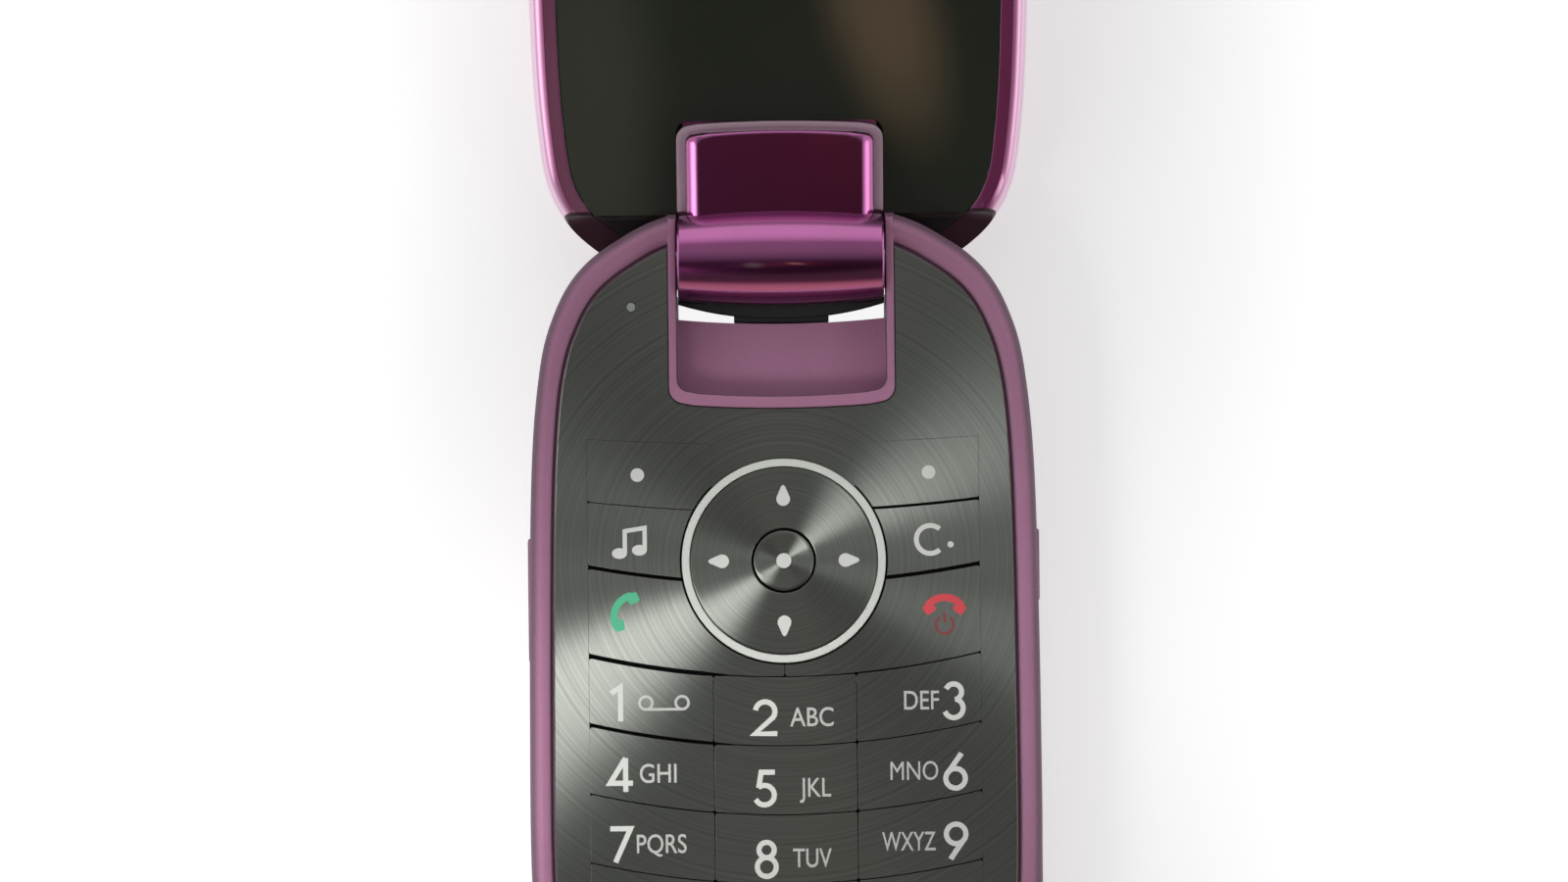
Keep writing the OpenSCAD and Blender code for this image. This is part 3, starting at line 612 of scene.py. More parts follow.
class Bench:
    """The moves that every piece is modelled with, in millimetres."""

    @staticmethod
    def clear() -> None:
        """Leaves edit mode and deselects everything."""
        if bpy.context.mode != "OBJECT":
            bpy.ops.object.mode_set(mode="OBJECT")
        bpy.ops.object.select_all(action="DESELECT")

    @classmethod
    def hold(cls, piece: Piece) -> None:
        """Makes one piece the active one, and the only one selected."""
        cls.clear()
        piece.select_set(True)
        bpy.context.view_layer.objects.active = piece

    @classmethod
    def loft(cls, name: str, rings: Sequence[Ring]) -> Piece:
        """Extrudes a face from ring to ring, and closes both ends.

        Args:
            name: The piece's name.
            rings: Loops of equally many points.

        Returns:
            The piece.
        """
        cls.clear()
        bpy.ops.mesh.primitive_circle_add(vertices=len(rings[0]), fill_type="NGON")
        piece = bpy.context.active_object
        piece.name = piece.data.name = name
        for vertex, point in zip(piece.data.vertices, rings[0]):
            vertex.co = point
        bpy.ops.object.mode_set(mode="EDIT")
        bpy.ops.mesh.select_all(action="SELECT")
        order = list(range(len(rings[0])))
        for ring in rings[1:]:
            bpy.ops.mesh.extrude_region_move()
            shape = bmesh.from_edit_mesh(piece.data)
            shape.verts.ensure_lookup_table()
            shape.verts.index_update()
            fresh = []
            for old, point in zip(order, ring):
                corner = shape.verts[old]
                ends = (edge.other_vert(corner) for edge in corner.link_edges)
                new = next(end for end in ends if end.select)
                new.co = point
                fresh.append(new.index)
            order = fresh
            bmesh.update_edit_mesh(piece.data)
        bpy.ops.mesh.select_all(action="SELECT")
        bpy.ops.mesh.normals_make_consistent(inside=False)
        bpy.ops.object.mode_set(mode="OBJECT")
        return piece

    @classmethod
    def slab(cls, name: str, plan: Plan, low: float, high: float) -> Piece:
        """Extrudes a plan between two heights."""
        return cls.loft(name, [level(plan, low), level(plan, high)])

    @classmethod
    def stack(cls, name: str, plan: Plan, steps: Sequence[Sequence[float]]) -> Piece:
        """Lofts a plan through steps of inset and height."""
        return cls.loft(name, [level(moved_in(plan, inset) if inset else plan, height)
                               for inset, height in steps])

    @classmethod
    def block(cls, name: str, low: Sequence[float], high: Sequence[float]) -> Piece:
        """Makes a box between two corners."""
        return cls.slab(name, rectangle(tuple(low[:2]), tuple(high[:2])), low[2], high[2])

    @classmethod
    def across(cls, name: str, low: Sequence[float], high: Sequence[float]) -> Piece:
        """Makes a box right across the phone, from places along and heights."""
        return cls.block(name, (-REACH, *low), (REACH, *high))

    @classmethod
    def turned(
        cls, name: str, centre: Sequence[float], profile: Plan, lean: Lean = Lean.UP, steps: int = 96
    ) -> Piece:
        """Turns a profile about an axis.

        Args:
            name: The piece's name.
            centre: A point on the axis.
            profile: Radius and place along the axis, from end to end.
            lean: Which way the axis points.
            steps: How many sides the round has.

        Returns:
            The piece.
        """
        rings = []
        for radius, place in profile:
            ring = []
            for step in range(steps):
                angle = 2 * math.pi * step / steps
                local = (radius * math.cos(angle), radius * math.sin(angle), place)
                ring.append(Vector(centre) + Vector([local[k] for k in lean.value]))
            rings.append(ring)
        return cls.loft(name, rings)

    @classmethod
    def rod(
        cls, name: str, centre: Sequence[float], radius: float, low: float, high: float,
        lean: Lean = Lean.UP, steps: int = 64,
    ) -> Piece:
        """Makes a round rod between two places along its axis."""
        return cls.turned(name, centre, [(radius, low), (radius, high)], lean, steps)

    @classmethod
    def combine(
        cls, piece: Piece, how: Change, *tools: Piece
    ) -> Piece:
        """Changes a piece with other shapes, which are used up, and returns it."""
        for tool in tools:
            cls.hold(piece)
            change = piece.modifiers.new("change", "BOOLEAN")
            change.operation, change.solver, change.object = how.value, "MANIFOLD", tool
            bpy.ops.object.modifier_apply(modifier=change.name)
            bpy.data.objects.remove(tool)
        return piece

    @classmethod
    def cut(cls, piece: Piece, *tools: Piece) -> Piece:
        """Cuts shapes out of a piece."""
        return cls.combine(piece, Change.CUT, *tools)

    @classmethod
    def join(cls, piece: Piece, *tools: Piece) -> Piece:
        """Joins shapes to a piece."""
        return cls.combine(piece, Change.JOIN, *tools)

    @classmethod
    def keep(cls, piece: Piece, *tools: Piece) -> Piece:
        """Keeps of a piece what lies in other shapes."""
        return cls.combine(piece, Change.KEEP, *tools)

    @classmethod
    def bevel(cls, piece: Piece, width: float) -> None:
        """Rounds a piece's sharp edges."""
        cls.hold(piece)
        change = piece.modifiers.new("edges", "BEVEL")
        change.width, change.segments = width, 2
        change.angle_limit = math.radians(40.0)
        bpy.ops.object.modifier_apply(modifier=change.name)

    @classmethod
    def merge(cls, piece: Piece, gap: float = 0.001) -> None:
        """Merges doubled points."""
        cls.hold(piece)
        bpy.ops.object.mode_set(mode="EDIT")
        bpy.ops.mesh.select_all(action="SELECT")
        bpy.ops.mesh.remove_doubles(threshold=gap)
        bpy.ops.object.mode_set(mode="OBJECT")

    @classmethod
    def deliver(
        cls, piece: Piece, body: str, finish: Finish, *nodes: str,
        place: Matrix | None = None,
    ) -> None:
        """Finishes a piece: its place, its size in metres, its shading, finish and body.

        Args:
            piece: The piece, in millimetres.
            body: The moving body that it rides on.
            finish: Its finish.
            nodes: The construction nodes that it stands for.
            place: A last turn, in millimetres.
        """
        if place is not None:
            piece.data.transform(place)
        piece.data.transform(Matrix.Scale(MM, 4))
        cls.hold(piece)
        bpy.ops.object.shade_smooth_by_angle(angle=math.radians(32.0))
        even = piece.modifiers.new("even", "WEIGHTED_NORMAL")
        even.keep_sharp = True
        bpy.ops.object.modifier_apply(modifier=even.name)
        finish.put_on(piece)
        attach(piece, body)
        if nodes:
            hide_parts(*nodes)
        LOG.info("%s: %d faces on %s", piece.name, len(piece.data.polygons), body)


# ---------------------------------------------------------------- shared plan


@dataclass(frozen=True)
class Hinge:
    """The axis that the display half turns about, and its angle as shown."""

    y: float
    z: float
    angle: float

    def opened(self) -> Matrix:
        """Turns what is drawn closed to the open place."""
        middle = Vector((0, self.y, self.z))
        turn = Matrix.Rotation(math.radians(-self.angle), 4, "X")
        return Matrix.Translation(middle) @ turn @ Matrix.Translation(-middle)

    def rod(self, name: str, radius: float, low: float, high: float, **more) -> Piece:
        """Makes a rod along the axis."""
        return Bench.rod(name, (0, self.y, self.z), radius, low, high, Lean.ACROSS, **more)

    def hang(self, piece: Piece, finish: Finish, *nodes: str) -> None:
        """Finishes a piece of the display half, which is drawn closed, and opens it."""
        Bench.deliver(piece, "lid", finish, *nodes, place=self.opened())


@dataclass(frozen=True)
class Outline:
    """Plan that both halves share: a smooth loop through set points."""

    axis_y: float
    steps: int = 12
    arch_reach: float = 12.0
    half: tuple[Sizes, ...] = (
        (0, -6.2), (10.7, -4.2), (16.2, -1.6), (19.8, 1.4), (22.1, 5.5), (23.5, 11), (24.4, 22),
        (24.75, 45), (24.6, 62), (23.2, 72), (19.5, 79.4), (12, 83.9), (0, 85.4),
    )

    @cached_property
    def loop(self) -> list[tuple[Vector, Vector]]:
        """Points of the loop, each with its way outwards."""
        right = [(w, self.axis_y - d) for w, d in self.half]
        left = [(-w, y) for w, y in right[-2:0:-1]]
        points = [Vector(p) for p in curve_through(right + left, self.steps, closed=True)]
        count = len(points)
        result = []
        for place, point in enumerate(points):
            along = (points[(place + 1) % count] - points[place - 1]).normalized()
            result.append((point, Vector((-along.y, along.x))))
        return result

    def plan(self, inset: float = 0.0, more_at_arch: float = 0.0) -> Plan:
        """Draws the loop in.

        Args:
            inset: How far, all round.
            more_at_arch: How much further at the end with the hinge.

        Returns:
            The plan, clockwise.
        """
        drawn = []
        for point, out in self.loop:
            share = (point.y - self.axis_y + self.arch_reach) / self.arch_reach
            share = min(1.0, max(0.0, share))
            drawn.append(tuple(point - out * (inset + more_at_arch * share)))
        return drawn

    def solid(self, name: str, levels: Plan, more_at_arch: float = 0.0) -> Piece:
        """Lofts the outline through levels of inset and height."""
        rings = [level(self.plan(inset, more_at_arch), z) for inset, z in levels]
        return Bench.loft(name, rings)

    def well(self, name: str, inset: float, low: float, high: float) -> Piece:
        """Lofts the outline, drawn in evenly, between two heights."""
        return self.solid(name, [(inset, low), (inset, high)])


# ---------------------------------------------------------------- keypad half


@dataclass
class KeypadCasing:
    """Front frame, rear housing and battery cover of the keypad half."""

    outline: Outline
    hinge: Hinge
    body: str = "base"
    height: float = 10.5
    split_z: float = 5.0
    ear_r: float = 4.25
    ear_back_y: float = 38.4
    wall: float = 1.5
    # Where the rim's round shoulder starts, how far it goes in, and how far up.
    shoulder: Sizes = (8.5, 1.4, 2.0)
    rim: float = 2.2
    rim_gap: float = 0.25
    rim_at_arch: float = 0.6
    # The ledge that carries the panel: its width past the rim, its foot and its top.
    ledge: Sizes = (0.8, 8.7, 9.8)
    # The rim's soft inner edge: how far back it lies at a height.
    mouth: tuple[Sizes, ...] = (
        (0.0, 9.6), (0.0, 9.9), (0.1, 10.12), (0.26, 10.28), (0.55, 10.41), (0.95, 10.51),
        (0.95, 11.5),
    )
    bay_half: float = 10.1
    # How deep the bay is in the middle and at its ends.
    bay_depths: Sizes = (6.4, 5.9)
    bay_top_y: float = 50.0
    pocket_reach: float = 13.4
    pocket_bow: float = 0.5
    pocket_corner: float = 1.2
    pocket_floor_z: float = 7.6
    pocket_rims: Sizes = (0.85, 1.2)
    under: Sizes = (9.5, 7.4, 0.8)
    slot: Sizes = (3.0, 7.6, 5.2, 6.6)
    # The section of the back's edge, as inset and height.
    belly: tuple[Sizes, ...] = (
        (3.4, 0), (1.8, 0.5), (0.9, 1.2), (0.35, 2.3), (0.05, 3.6), (0, 5.0),
    )
    # The rooms inside the back: inset, low and high.
    wells: ClassVar[dict[str, Sizes]] = {
        "floor": (2.4, 1.0, 6.0), "upper": (1.3, 1.7, 6.0), "battery": (2.3, -1.0, 6.0),
        "tub": (1.65, 1.7, 5.0), "tray": (2.4, 0.9, 6.0), "wall": (1.5, 1.55, 6.0),
    }
    # The openings for the sound: the middle one, the pitch, and each one's box.
    sound: tuple[float, float, Sizes] = (22, 1.6, (-16.5, -7.5, 0.35, 0.34))
    ridges: tuple[float, float, Sizes] = (2.5, 1.3, (-7, 7, 0.25, 0.24))
    cover_end_y: float = 8.0
    cover_top_z: float = 3.35
    side_z: float = 6.7
    # The side walls: how far inside the outline's widest place, how bowed, and about where.
    side_bow: Sizes = (0.02, 0.0004, -3.0)
    # The side openings: side, middle, length and height.
    side_windows: tuple[tuple[int, float, float, float], ...] = (
        (-1, 9, 12, 2.0), (1, 12, 7, 2.0), (1, -14, 10, 3.2),
    )
    screw_places: tuple[Sizes, ...] = (
        (19.2, 29.0), (-19.2, 29.0), (19.6, -30.0), (-19.6, -30.0),
    )
    # Radii of the boss, the head's recess and the shank's hole.
    screw_radii: Sizes = (1.75, 1.35, 0.75)
    # The boss's foot under the battery cover and past it, and the recess's end.
    screw_z: Sizes = (1.7, 0.5, 3.55)
    # Half width, low and high.
    bridge_box: Sizes = (4.6, 1.2, 7.2)
    # Half width, nearest and furthest from the axis, low and high.
    bridge_tongue: Sizes = (2.9, 5.9, 9.0, 5.3, 6.5)
    saddle_r: float = 4.95
    apron_z: Sizes = (5.5, 7.78)
    # The blade's hollow: its radius in the middle, the drop, and where the drop is full.
    apron_hollow: Sizes = (4.84, 0.6, 9.95)
    # The blade's edge: its reach in the middle, how far its ends draw back, and how late.
    apron_edge: Sizes = (5.85, 1.42, 2.2)

    def bay_y(self, x: float) -> float:
        """Returns where the bay's lower edge is, at a place across."""
        middle, end = self.bay_depths
        return self.hinge.y - middle + (middle - end) * (x / self.bay_half) ** 2

    def bay_plan(self, grow: float = 0.0) -> Plan:
        """Draws the bay that the barrel turns in."""
        half = self.bay_half + grow
        low = [(x, self.bay_y(x) - grow) for x in (half * k / 12 for k in range(-12, 13))]
        return low + [(half, self.bay_top_y), (-half, self.bay_top_y)]

    def pocket_plan(self, side_rim: float, end_rim: float) -> Plan:
        """Draws the pocket that takes the neck when closed, grown by its rims."""
        half = self.bay_half + side_rim
        low = self.hinge.y - self.pocket_reach - end_rim
        r = self.pocket_corner + 0.4 * side_rim
        corner_y = low + self.pocket_bow + r
        flat = half - r
        end = [(x, low + self.pocket_bow * (x / half) ** 2)
               for x in (flat * k / 10 for k in range(-9, 10))]
        return (
            [(-half, self.bay_top_y)]
            + arc((-half + r, corner_y), r, 180, 262, 8) + end
            + arc((half - r, corner_y), r, 278, 360, 8) + [(half, self.bay_top_y)]
        )

    def well(self, name: str) -> Piece:
        """Shapes one of the rooms inside the back."""
        return self.outline.well(name, *self.wells[name])

    def side_on(self, name: str, plan: Plan) -> Piece:
        """Extrudes a plan of places along and heights across the whole width."""
        return Bench.loft(name, [[Vector((x, y, z)) for y, z in plan] for x in (-REACH, REACH)])

    def room_below(self) -> Piece:
        """Keeps what may stay of the front: the rim, and the ears' round ends."""
        low = math.degrees(math.asin((self.ear_back_y - self.hinge.y) / self.ear_r))
        centre, far, top_z = (self.hinge.y, self.hinge.z), self.hinge.y - 110, 13.0
        ears = arc(centre, self.ear_r, low - 90, 0, 28) + arc(centre, self.ear_r, 0, 90, 24)[1:]
        return self.side_on(
            "keep", [(far, self.split_z), (self.ear_back_y, self.split_z)] + ears
            + [(self.ear_back_y, top_z), (far, top_z)],
        )

    def front(self) -> Piece:
        """Moulds the front frame: the painted rim, its ears and the pocket's lip."""
        start, inwards, rise = self.shoulder
        turns = [math.radians(a) for a in range(0, 91, 9)]
        piece = self.outline.solid("front_frame", [
            (0.0, self.hinge.z - self.ear_r), (0.0, self.split_z + 0.12), (0.0, 6.6),
            *((inwards * (1 - math.cos(t)), start + rise * math.sin(t)) for t in turns)])
        Bench.keep(piece, self.room_below())
        under, ledge_z, ledge_top = self.ledge
        hollow = self.outline.well("hollow", self.wall, self.split_z - 1, ledge_z)
        ledge = self.outline.well("ledge", self.rim + under, ledge_z - 0.01, ledge_top)
        for room in (hollow, ledge):
            Bench.cut(room, Bench.across("ears", (self.hinge.y - 5, 0), (self.hinge.y + 12, 14)))
        mouth = [(self.rim - back, z) for back, z in self.mouth]
        opening = self.outline.solid("opening", mouth, self.rim_at_arch)
        Bench.cut(piece, hollow, ledge, opening)
        Bench.join(piece, self.pocket_lip())
        return Bench.cut(piece, *self.pocket_room(), *self.window_rooms())

    def pocket_lip(self) -> Piece:
        """Moulds the raised lip round the pocket, with soft edges."""
        top = self.height
        lip = Bench.stack("lip", self.pocket_plan(*self.pocket_rims), [
            (0, self.split_z), (0, top - 0.3), (0.09, top - 0.09), (0.3, top)])
        return Bench.keep(lip, self.room_below())

    def pocket_room(self) -> list[Piece]:
        """Shapes what is cut out for the neck, the barrel and the bridge."""
        floor, top, y = self.pocket_floor_z, self.height, self.hinge.y
        pocket = Bench.stack("pocket", self.pocket_plan(0, 0), [
            (0.15, floor), (0.04, floor + 0.04), (0, floor + 0.15), (0, top - 0.25),
            (-0.07, top - 0.07), (-0.25, top + 0.01), (-0.25, top + 2)])
        low_y = y - self.pocket_reach - self.pocket_rims[1] + 1
        (half, near, skin), (side, far, low, high) = self.under, self.slot
        return [
            pocket, Bench.slab("bay", self.bay_plan(), -1, 20),
            Bench.block("under", (-half, low_y, self.split_z - 1), (half, y - near, floor - skin)),
            Bench.block("slot", (-side, y - far, low), (side, y, high)),
        ]

    def side_x(self, y: float) -> float:
        """Returns how far out the side wall is, at a place along."""
        off, bow, middle = self.side_bow
        return self.outline.half[7][0] - off - bow * (y - middle) ** 2

    def window_rooms(self) -> list[Piece]:
        """Shapes the windows of the rocker, the camera key and the socket's flap."""
        play, deep, out = 0.15, 3.0, 2.0
        cutters = []
        for side, y, length, tall in self.side_windows:
            x = self.side_x(y)
            low = x - deep if side > 0 else -x - out
            plan = rectangle((y - length / 2 - play, self.side_z - tall / 2 - play),
                             (y + length / 2 + play, self.side_z + tall / 2 + play), 0.45)
            cutters.append(Bench.loft("window", [
                [Vector((low + reach, a, z)) for a, z in plan] for reach in (0, deep + out)]))
        return cutters

    def grooves(self, name: str, first: float, pitch: float, box: Sequence[float],
                steps: Sequence[Sequence[float]]) -> list[Piece]:
        """Shapes five even grooves across the back.

        Args:
            name: The cutters' name.
            first: Where the middle one is.
            pitch: How far they are apart.
            box: Each one's left and right end, half its width, and its corners' radius.
            steps: Its section, as inset and height.

        Returns:
            The cutters.
        """
        left, right, half, corner = box
        return [Bench.stack(name, rectangle((left, y - half), (right, y + half), corner), steps)
                for y in (first + pitch * k for k in range(-2, 3))]

    def rear(self) -> Piece:
        """Moulds the rear housing, open where the battery cover slides."""
        end = self.cover_end_y
        piece = self.outline.solid("rear_housing", curve_through(self.belly, 4))
        floor, upper = self.well("floor"), self.well("upper")
        for room in (floor, upper):
            Bench.cut(room, Bench.across("lower", (-60, -1), (end + 1.2, 8)),
                      Bench.slab("bay", self.bay_plan(1.0), -1, 20),
                      Bench.across("tail", (self.ear_back_y - 1.2, -1), (60, 20)))
        battery = self.well("battery")
        Bench.cut(battery, Bench.across("past", (end - 0.2, -2), (60, 8)))
        slide = Bench.across("slide", (-60, -1), (end, self.cover_top_z + 0.05))
        Bench.cut(slide, self.well("tub"))
        Bench.cut(piece, floor, upper, battery, slide)
        (boss, head, shank), (low, past, recess) = self.screw_radii, self.screw_z
        for x, y in self.screw_places:
            foot = low if y < 0 else past
            Bench.join(piece, Bench.rod("boss", (x, y, 0), boss, foot, self.split_z))
        cuts = [Bench.across("tail", (self.ear_back_y, -1), (60, 9)),
                Bench.slab("bay", self.bay_plan(), -1, 20)]
        for x, y in self.screw_places:
            cuts.append(Bench.rod("head", (x, y, 0), head, -1, recess))
            cuts.append(Bench.rod("shank", (x, y, 0), shank, -1, 9))
        return Bench.cut(piece, *cuts, *self.grooves("sound", *self.sound, [(0, -1), (0, 2)]))

    def cover(self) -> Piece:
        """Moulds the sliding battery cover with its finger ridges."""
        piece = self.outline.solid("battery_cover_shell", curve_through(self.belly, 4))
        edge, end, far = 0.2, self.cover_end_y - 0.1, -60
        Bench.keep(piece, self.side_on("keep", [
            (far, -1), (end - edge, -1), (end - edge, 0), (end, edge), (end, self.cover_top_z),
            (far, self.cover_top_z)]))
        Bench.cut(piece, self.well("tray"), self.well("wall"))
        return Bench.cut(piece, *self.grooves("groove", *self.ridges, [
            (-0.12, -0.2), (-0.12, 0.0), (0, 0.12), (0.12, 0.22)]))

    def bridge(self) -> Piece:
        """Shapes the black bridge between the two slits, hollowed about the barrel."""
        half, low, high = self.bridge_box
        back = self.bay_y(half) + 0.02
        piece = Bench.block("bridge", (-half, back, low), (half, self.ear_back_y - 0.6, high))
        half, near, far, low, high = self.bridge_tongue
        Bench.join(piece, Bench.block("tongue", (-half, self.hinge.y - far, low),
                                      (half, self.hinge.y - near, high)))
        Bench.cut(piece, self.hinge.rod("saddle", self.saddle_r, -6, 6, steps=128))
        Bench.bevel(piece, 0.12)
        return Bench.join(piece, self.apron())

    def apron(self) -> Piece:
        """Shapes the dark blade that follows the barrel's crown from end to end."""
        half, steps, soft = self.bay_half - 0.12, 28, 0.15
        (low, high), (radius, drop, end) = self.apron_z, self.apron_hollow
        reach, pull, power = self.apron_edge
        rings = []
        for x in (half * (2 * k / steps - 1) for k in range(steps + 1)):
            inner = radius - drop * (x / end) ** 2
            start = 180 + math.degrees(math.asin((self.hinge.z - high) / inner))
            edge = self.hinge.y - (reach - pull * abs(x / half) ** power)
            plan = arc((self.hinge.y, self.hinge.z), inner, start, 212, 8)
            plan += [(edge, low), (edge, high - soft), (edge + soft, high)]
            rings.append([Vector((x, y, z)) for y, z in plan])
        return Bench.loft("apron", rings)

    def build(self) -> None:
        """Makes and dresses the casing's pieces."""
        Bench.deliver(self.front(), self.body, SATIN_MAUVE, "base_front_frame")
        Bench.deliver(self.rear(), self.body, SATIN_MAUVE, "base_rear_housing")
        Bench.deliver(self.cover(), "battery_cover", SATIN_MAUVE, "battery_cover")
        Bench.deliver(self.bridge(), self.body, BLACK_ABS, "hinge_bridge")


@dataclass
class KeypadFace:
    """Spun panel with its keys, the navigation pad and its light ring."""

    outline: Outline
    hinge: Hinge
    casing: KeypadCasing
    body: str = "base"
    panel_z: Sizes = (9.7, 10.28)
    key_z: Sizes = (9.1, 10.3)
    nav_d: float = 29.3
    nav_r: float = 9.85
    ring_width: float = 0.75
    ok_r: float = 2.9
    half: float = 18.9
    middle: float = 6.9
    hairline: float = 0.08
    edge: float = 0.015
    slack: float = 0.006
    # Where the grooves start to change their width, and over what length.
    widens: Sizes = (5.0, 3.0)
    # The grooves: distance from the axis, bow, and width at the left, the middle and the right.
    row_edges: tuple[tuple[float, float, Sizes], ...] = (
        (18.05, 0.0018, (0.012, 0.012, 0.012)), (24.55, 0.0031, (0.08, 0.08, 0.26)),
        (31.5, 0.005, (0.36, 0.2, 0.38)), (40.5, 0.0062, (0.44, 0.1, 0.14)),
        (47.16, 0.0062, (0.36, 0.1, 0.1)), (53.82, 0.0062, (0.12, 0.1, 0.1)),
        (60.48, 0.0062, (0.1, 0.1, 0.1)), (67.14, 0.0062, (0.1, 0.1, 0.1)),
    )
    side_keys: tuple[tuple[str, int, int], ...] = (
        ("soft_key_left", -1, 0), ("soft_key_right", 1, 0), ("music_key", -1, 1),
        ("clear_key", 1, 1), ("call_key", -1, 2), ("end_key", 1, 2),
    )
    numbers: tuple[str, ...] = (*"123456789", "star", "0", "hash")
    key_corner: float = 0.28
    dish: float = 0.1
    corner: float = 0.14
    # The status light: place across, and distance from the axis.
    lamp: Sizes = (-14.5, 4.7)

    @property
    def lamp_place(self) -> Sizes:
        """Returns where the status light is."""
        return (self.lamp[0], self.hinge.y - self.lamp[1], 0)

    @property
    def nav_y(self) -> float:
        """Returns the place along of the navigation pad's centre."""
        return self.hinge.y - self.nav_d

    def edge_y(self, row: int, x: float, side: float) -> float:
        """Returns where the groove between two rows is: its middle, or a side of it (-1, 1)."""
        distance, rise, (left, middle, right) = self.row_edges[row]
        share = min(1.0, max(0.0, (abs(x) - self.widens[0]) / self.widens[1]))
        groove = middle + ((right if x > 0 else left) - middle) * share
        return self.hinge.y - distance + rise * x * x + side * groove / 2

    def keys(self) -> list[tuple[str, int, int]]:
        """Lists the keys as name, column and row."""
        grid = [("key_" + name, k % 3 - 1, 3 + k // 3) for k, name in enumerate(self.numbers)]
        return list(self.side_keys) + grid

    def key_plan(self, column: int, row: int) -> Plan:
        """Draws a key, anticlockwise, with its corners rounded."""
        gap = self.slack if row < 2 else self.hairline / 2
        inner = gap if row == 2 else self.middle + gap
        if column == 0:
            low, high = -self.middle + gap, self.middle - gap
        else:
            low, high = sorted((column * inner, column * self.half))
        steps = 14
        across = [low + (high - low) * k / steps for k in range(steps + 1)]
        lower = [(x, self.edge_y(row + 1, x, 1)) for x in across]
        upper = [(x, self.edge_y(row, x, -1)) for x in reversed(across)]
        return rounded(lower + upper, self.key_corner, 4)

    def rows_plan(self, start: float, end: float, upper_row: int, lower_row: int) -> Plan:
        """Draws the opening for a block of rows, between two places across."""
        steps = 40
        across = [start + (end - start) * k / steps for k in range(steps + 1)]
        lower = [(x, self.edge_y(lower_row, x, -1)) for x in across]
        upper = [(x, self.edge_y(upper_row, x, 1)) for x in reversed(across)]
        return rounded(lower + upper, self.key_corner + 0.02, 4)

    def nav_cutter(self, radius: float, top: float) -> Piece:
        """Shapes the round cut about the navigation pad, flared at the top."""
        flare = radius + self.edge
        return Bench.turned("round", (0, self.nav_y, 0), [
            (radius, 5.0), (radius, top - self.edge), (flare, top + 0.002), (flare, top + 2)],
            steps=160)

    def key(self, name: str, column: int, row: int) -> None:
        """Makes one key of spun sheet on its own body."""
        plan = self.key_plan(column, row)
        low, top = self.key_z
        soft = 0.3 * self.edge
        piece = Bench.stack(name + "_cap", plan, [
            (0, low), (0, top - self.edge), (soft, top - soft), (self.edge, top)])
        if row < 3:
            Bench.cut(piece, self.nav_cutter(self.nav_r + 0.2, top))
        Bench.deliver(piece, name, SPUN_METAL, name)

    def panel(self) -> None:
        """Presses the panel round the keys."""
        low, top = self.panel_z
        inset = self.casing.rim + self.casing.rim_gap
        levels = [(inset, low), (inset, top - 0.08), (inset + 0.1, top)]
        piece = self.outline.solid("keypad_sheet", levels, self.casing.rim_at_arch)
        sides, ends = self.casing.pocket_rims
        slack = 0.05
        cuts = [Bench.slab("pocket", self.casing.pocket_plan(sides + slack, ends + slack), 0, 20)]
        reach = self.half + self.slack
        last = len(self.row_edges) - 1
        for start, end, upper_row, lower_row in (
            (-reach, -self.middle, 0, 2), (self.middle, reach, 0, 2), (-reach, reach, 2, last),
        ):
            keys = self.rows_plan(start, end, upper_row, lower_row)
            cuts.append(Bench.stack("keys", keys, [
                (0, 5), (0, top - self.edge), (-self.edge, top + 0.002), (-self.edge, 20)]))
        cuts.append(self.nav_cutter(self.nav_r + slack, top))
        cuts.append(Bench.rod("lamp", self.lamp_place, 0.5, 0, 20, steps=40))
        Bench.cut(piece, *cuts)
        Bench.deliver(piece, self.body, SPUN_METAL, "keypad_panel")

    def disc(self, name: str, radius: float, low: float, top: float) -> Piece:
        """Turns a disc about the pad's centre, with a soft upper edge."""
        return Bench.turned(name, (0, self.nav_y, 0), [
            (radius, low), (radius, top - 0.12), (radius - 0.04, top - 0.04),
            (radius - self.corner, top)], steps=160)

    def hole(self, radius: float, top: float, steps: int) -> Piece:
        """Shapes a round hole about the pad's centre, with a soft upper edge."""
        flare = radius + self.corner
        return Bench.turned("hole", (0, self.nav_y, 0), [
            (radius, 5), (radius, top - 0.12), (radius + 0.04, top - 0.04), (flare, top + 0.005),
            (flare, 12)], steps=steps)

    def centre_pad(self) -> None:
        """Turns the navigation pad, its milky ring, the key in its middle and the status light."""
        inner, top = self.nav_r - self.ring_width, self.key_z[1]
        pad = self.disc("nav_disc", inner - 0.1, 9.6, top)
        Bench.cut(pad, self.hole(self.ok_r + 0.22, top, 96))
        Bench.deliver(pad, "nav_pad", PAD_METAL, "nav_pad")
        ring_top = top + 0.05
        ring = self.disc("light_ring", self.nav_r, 8.4, ring_top)
        Bench.cut(ring, self.hole(inner, ring_top, 160))
        Bench.deliver(ring, self.body, LIGHT_GUIDE, "nav_light_ring")
        profile = [(self.ok_r, 9.1), (self.ok_r, top - 0.1), (self.ok_r - 0.05, top)]
        steps = 12
        for share in (1 - k / steps for k in range(steps)):
            radius = max((self.ok_r - 0.15) * share, 0.05)
            profile.append((radius, top + 0.04 - self.dish * (1 - share**2)))
        key = Bench.turned("centre_key", (0, self.nav_y, 0), profile)
        Bench.deliver(key, "ok_key", PAD_METAL, "ok_key")
        lamp = Bench.turned("status_lamp", self.lamp_place, [
            (0.48, 8.7), (0.48, 10.16), (0.42, 10.22), (0.3, 10.24)], steps=40)
        Bench.deliver(lamp, self.body, SMOKED_GUIDE, "status_light")

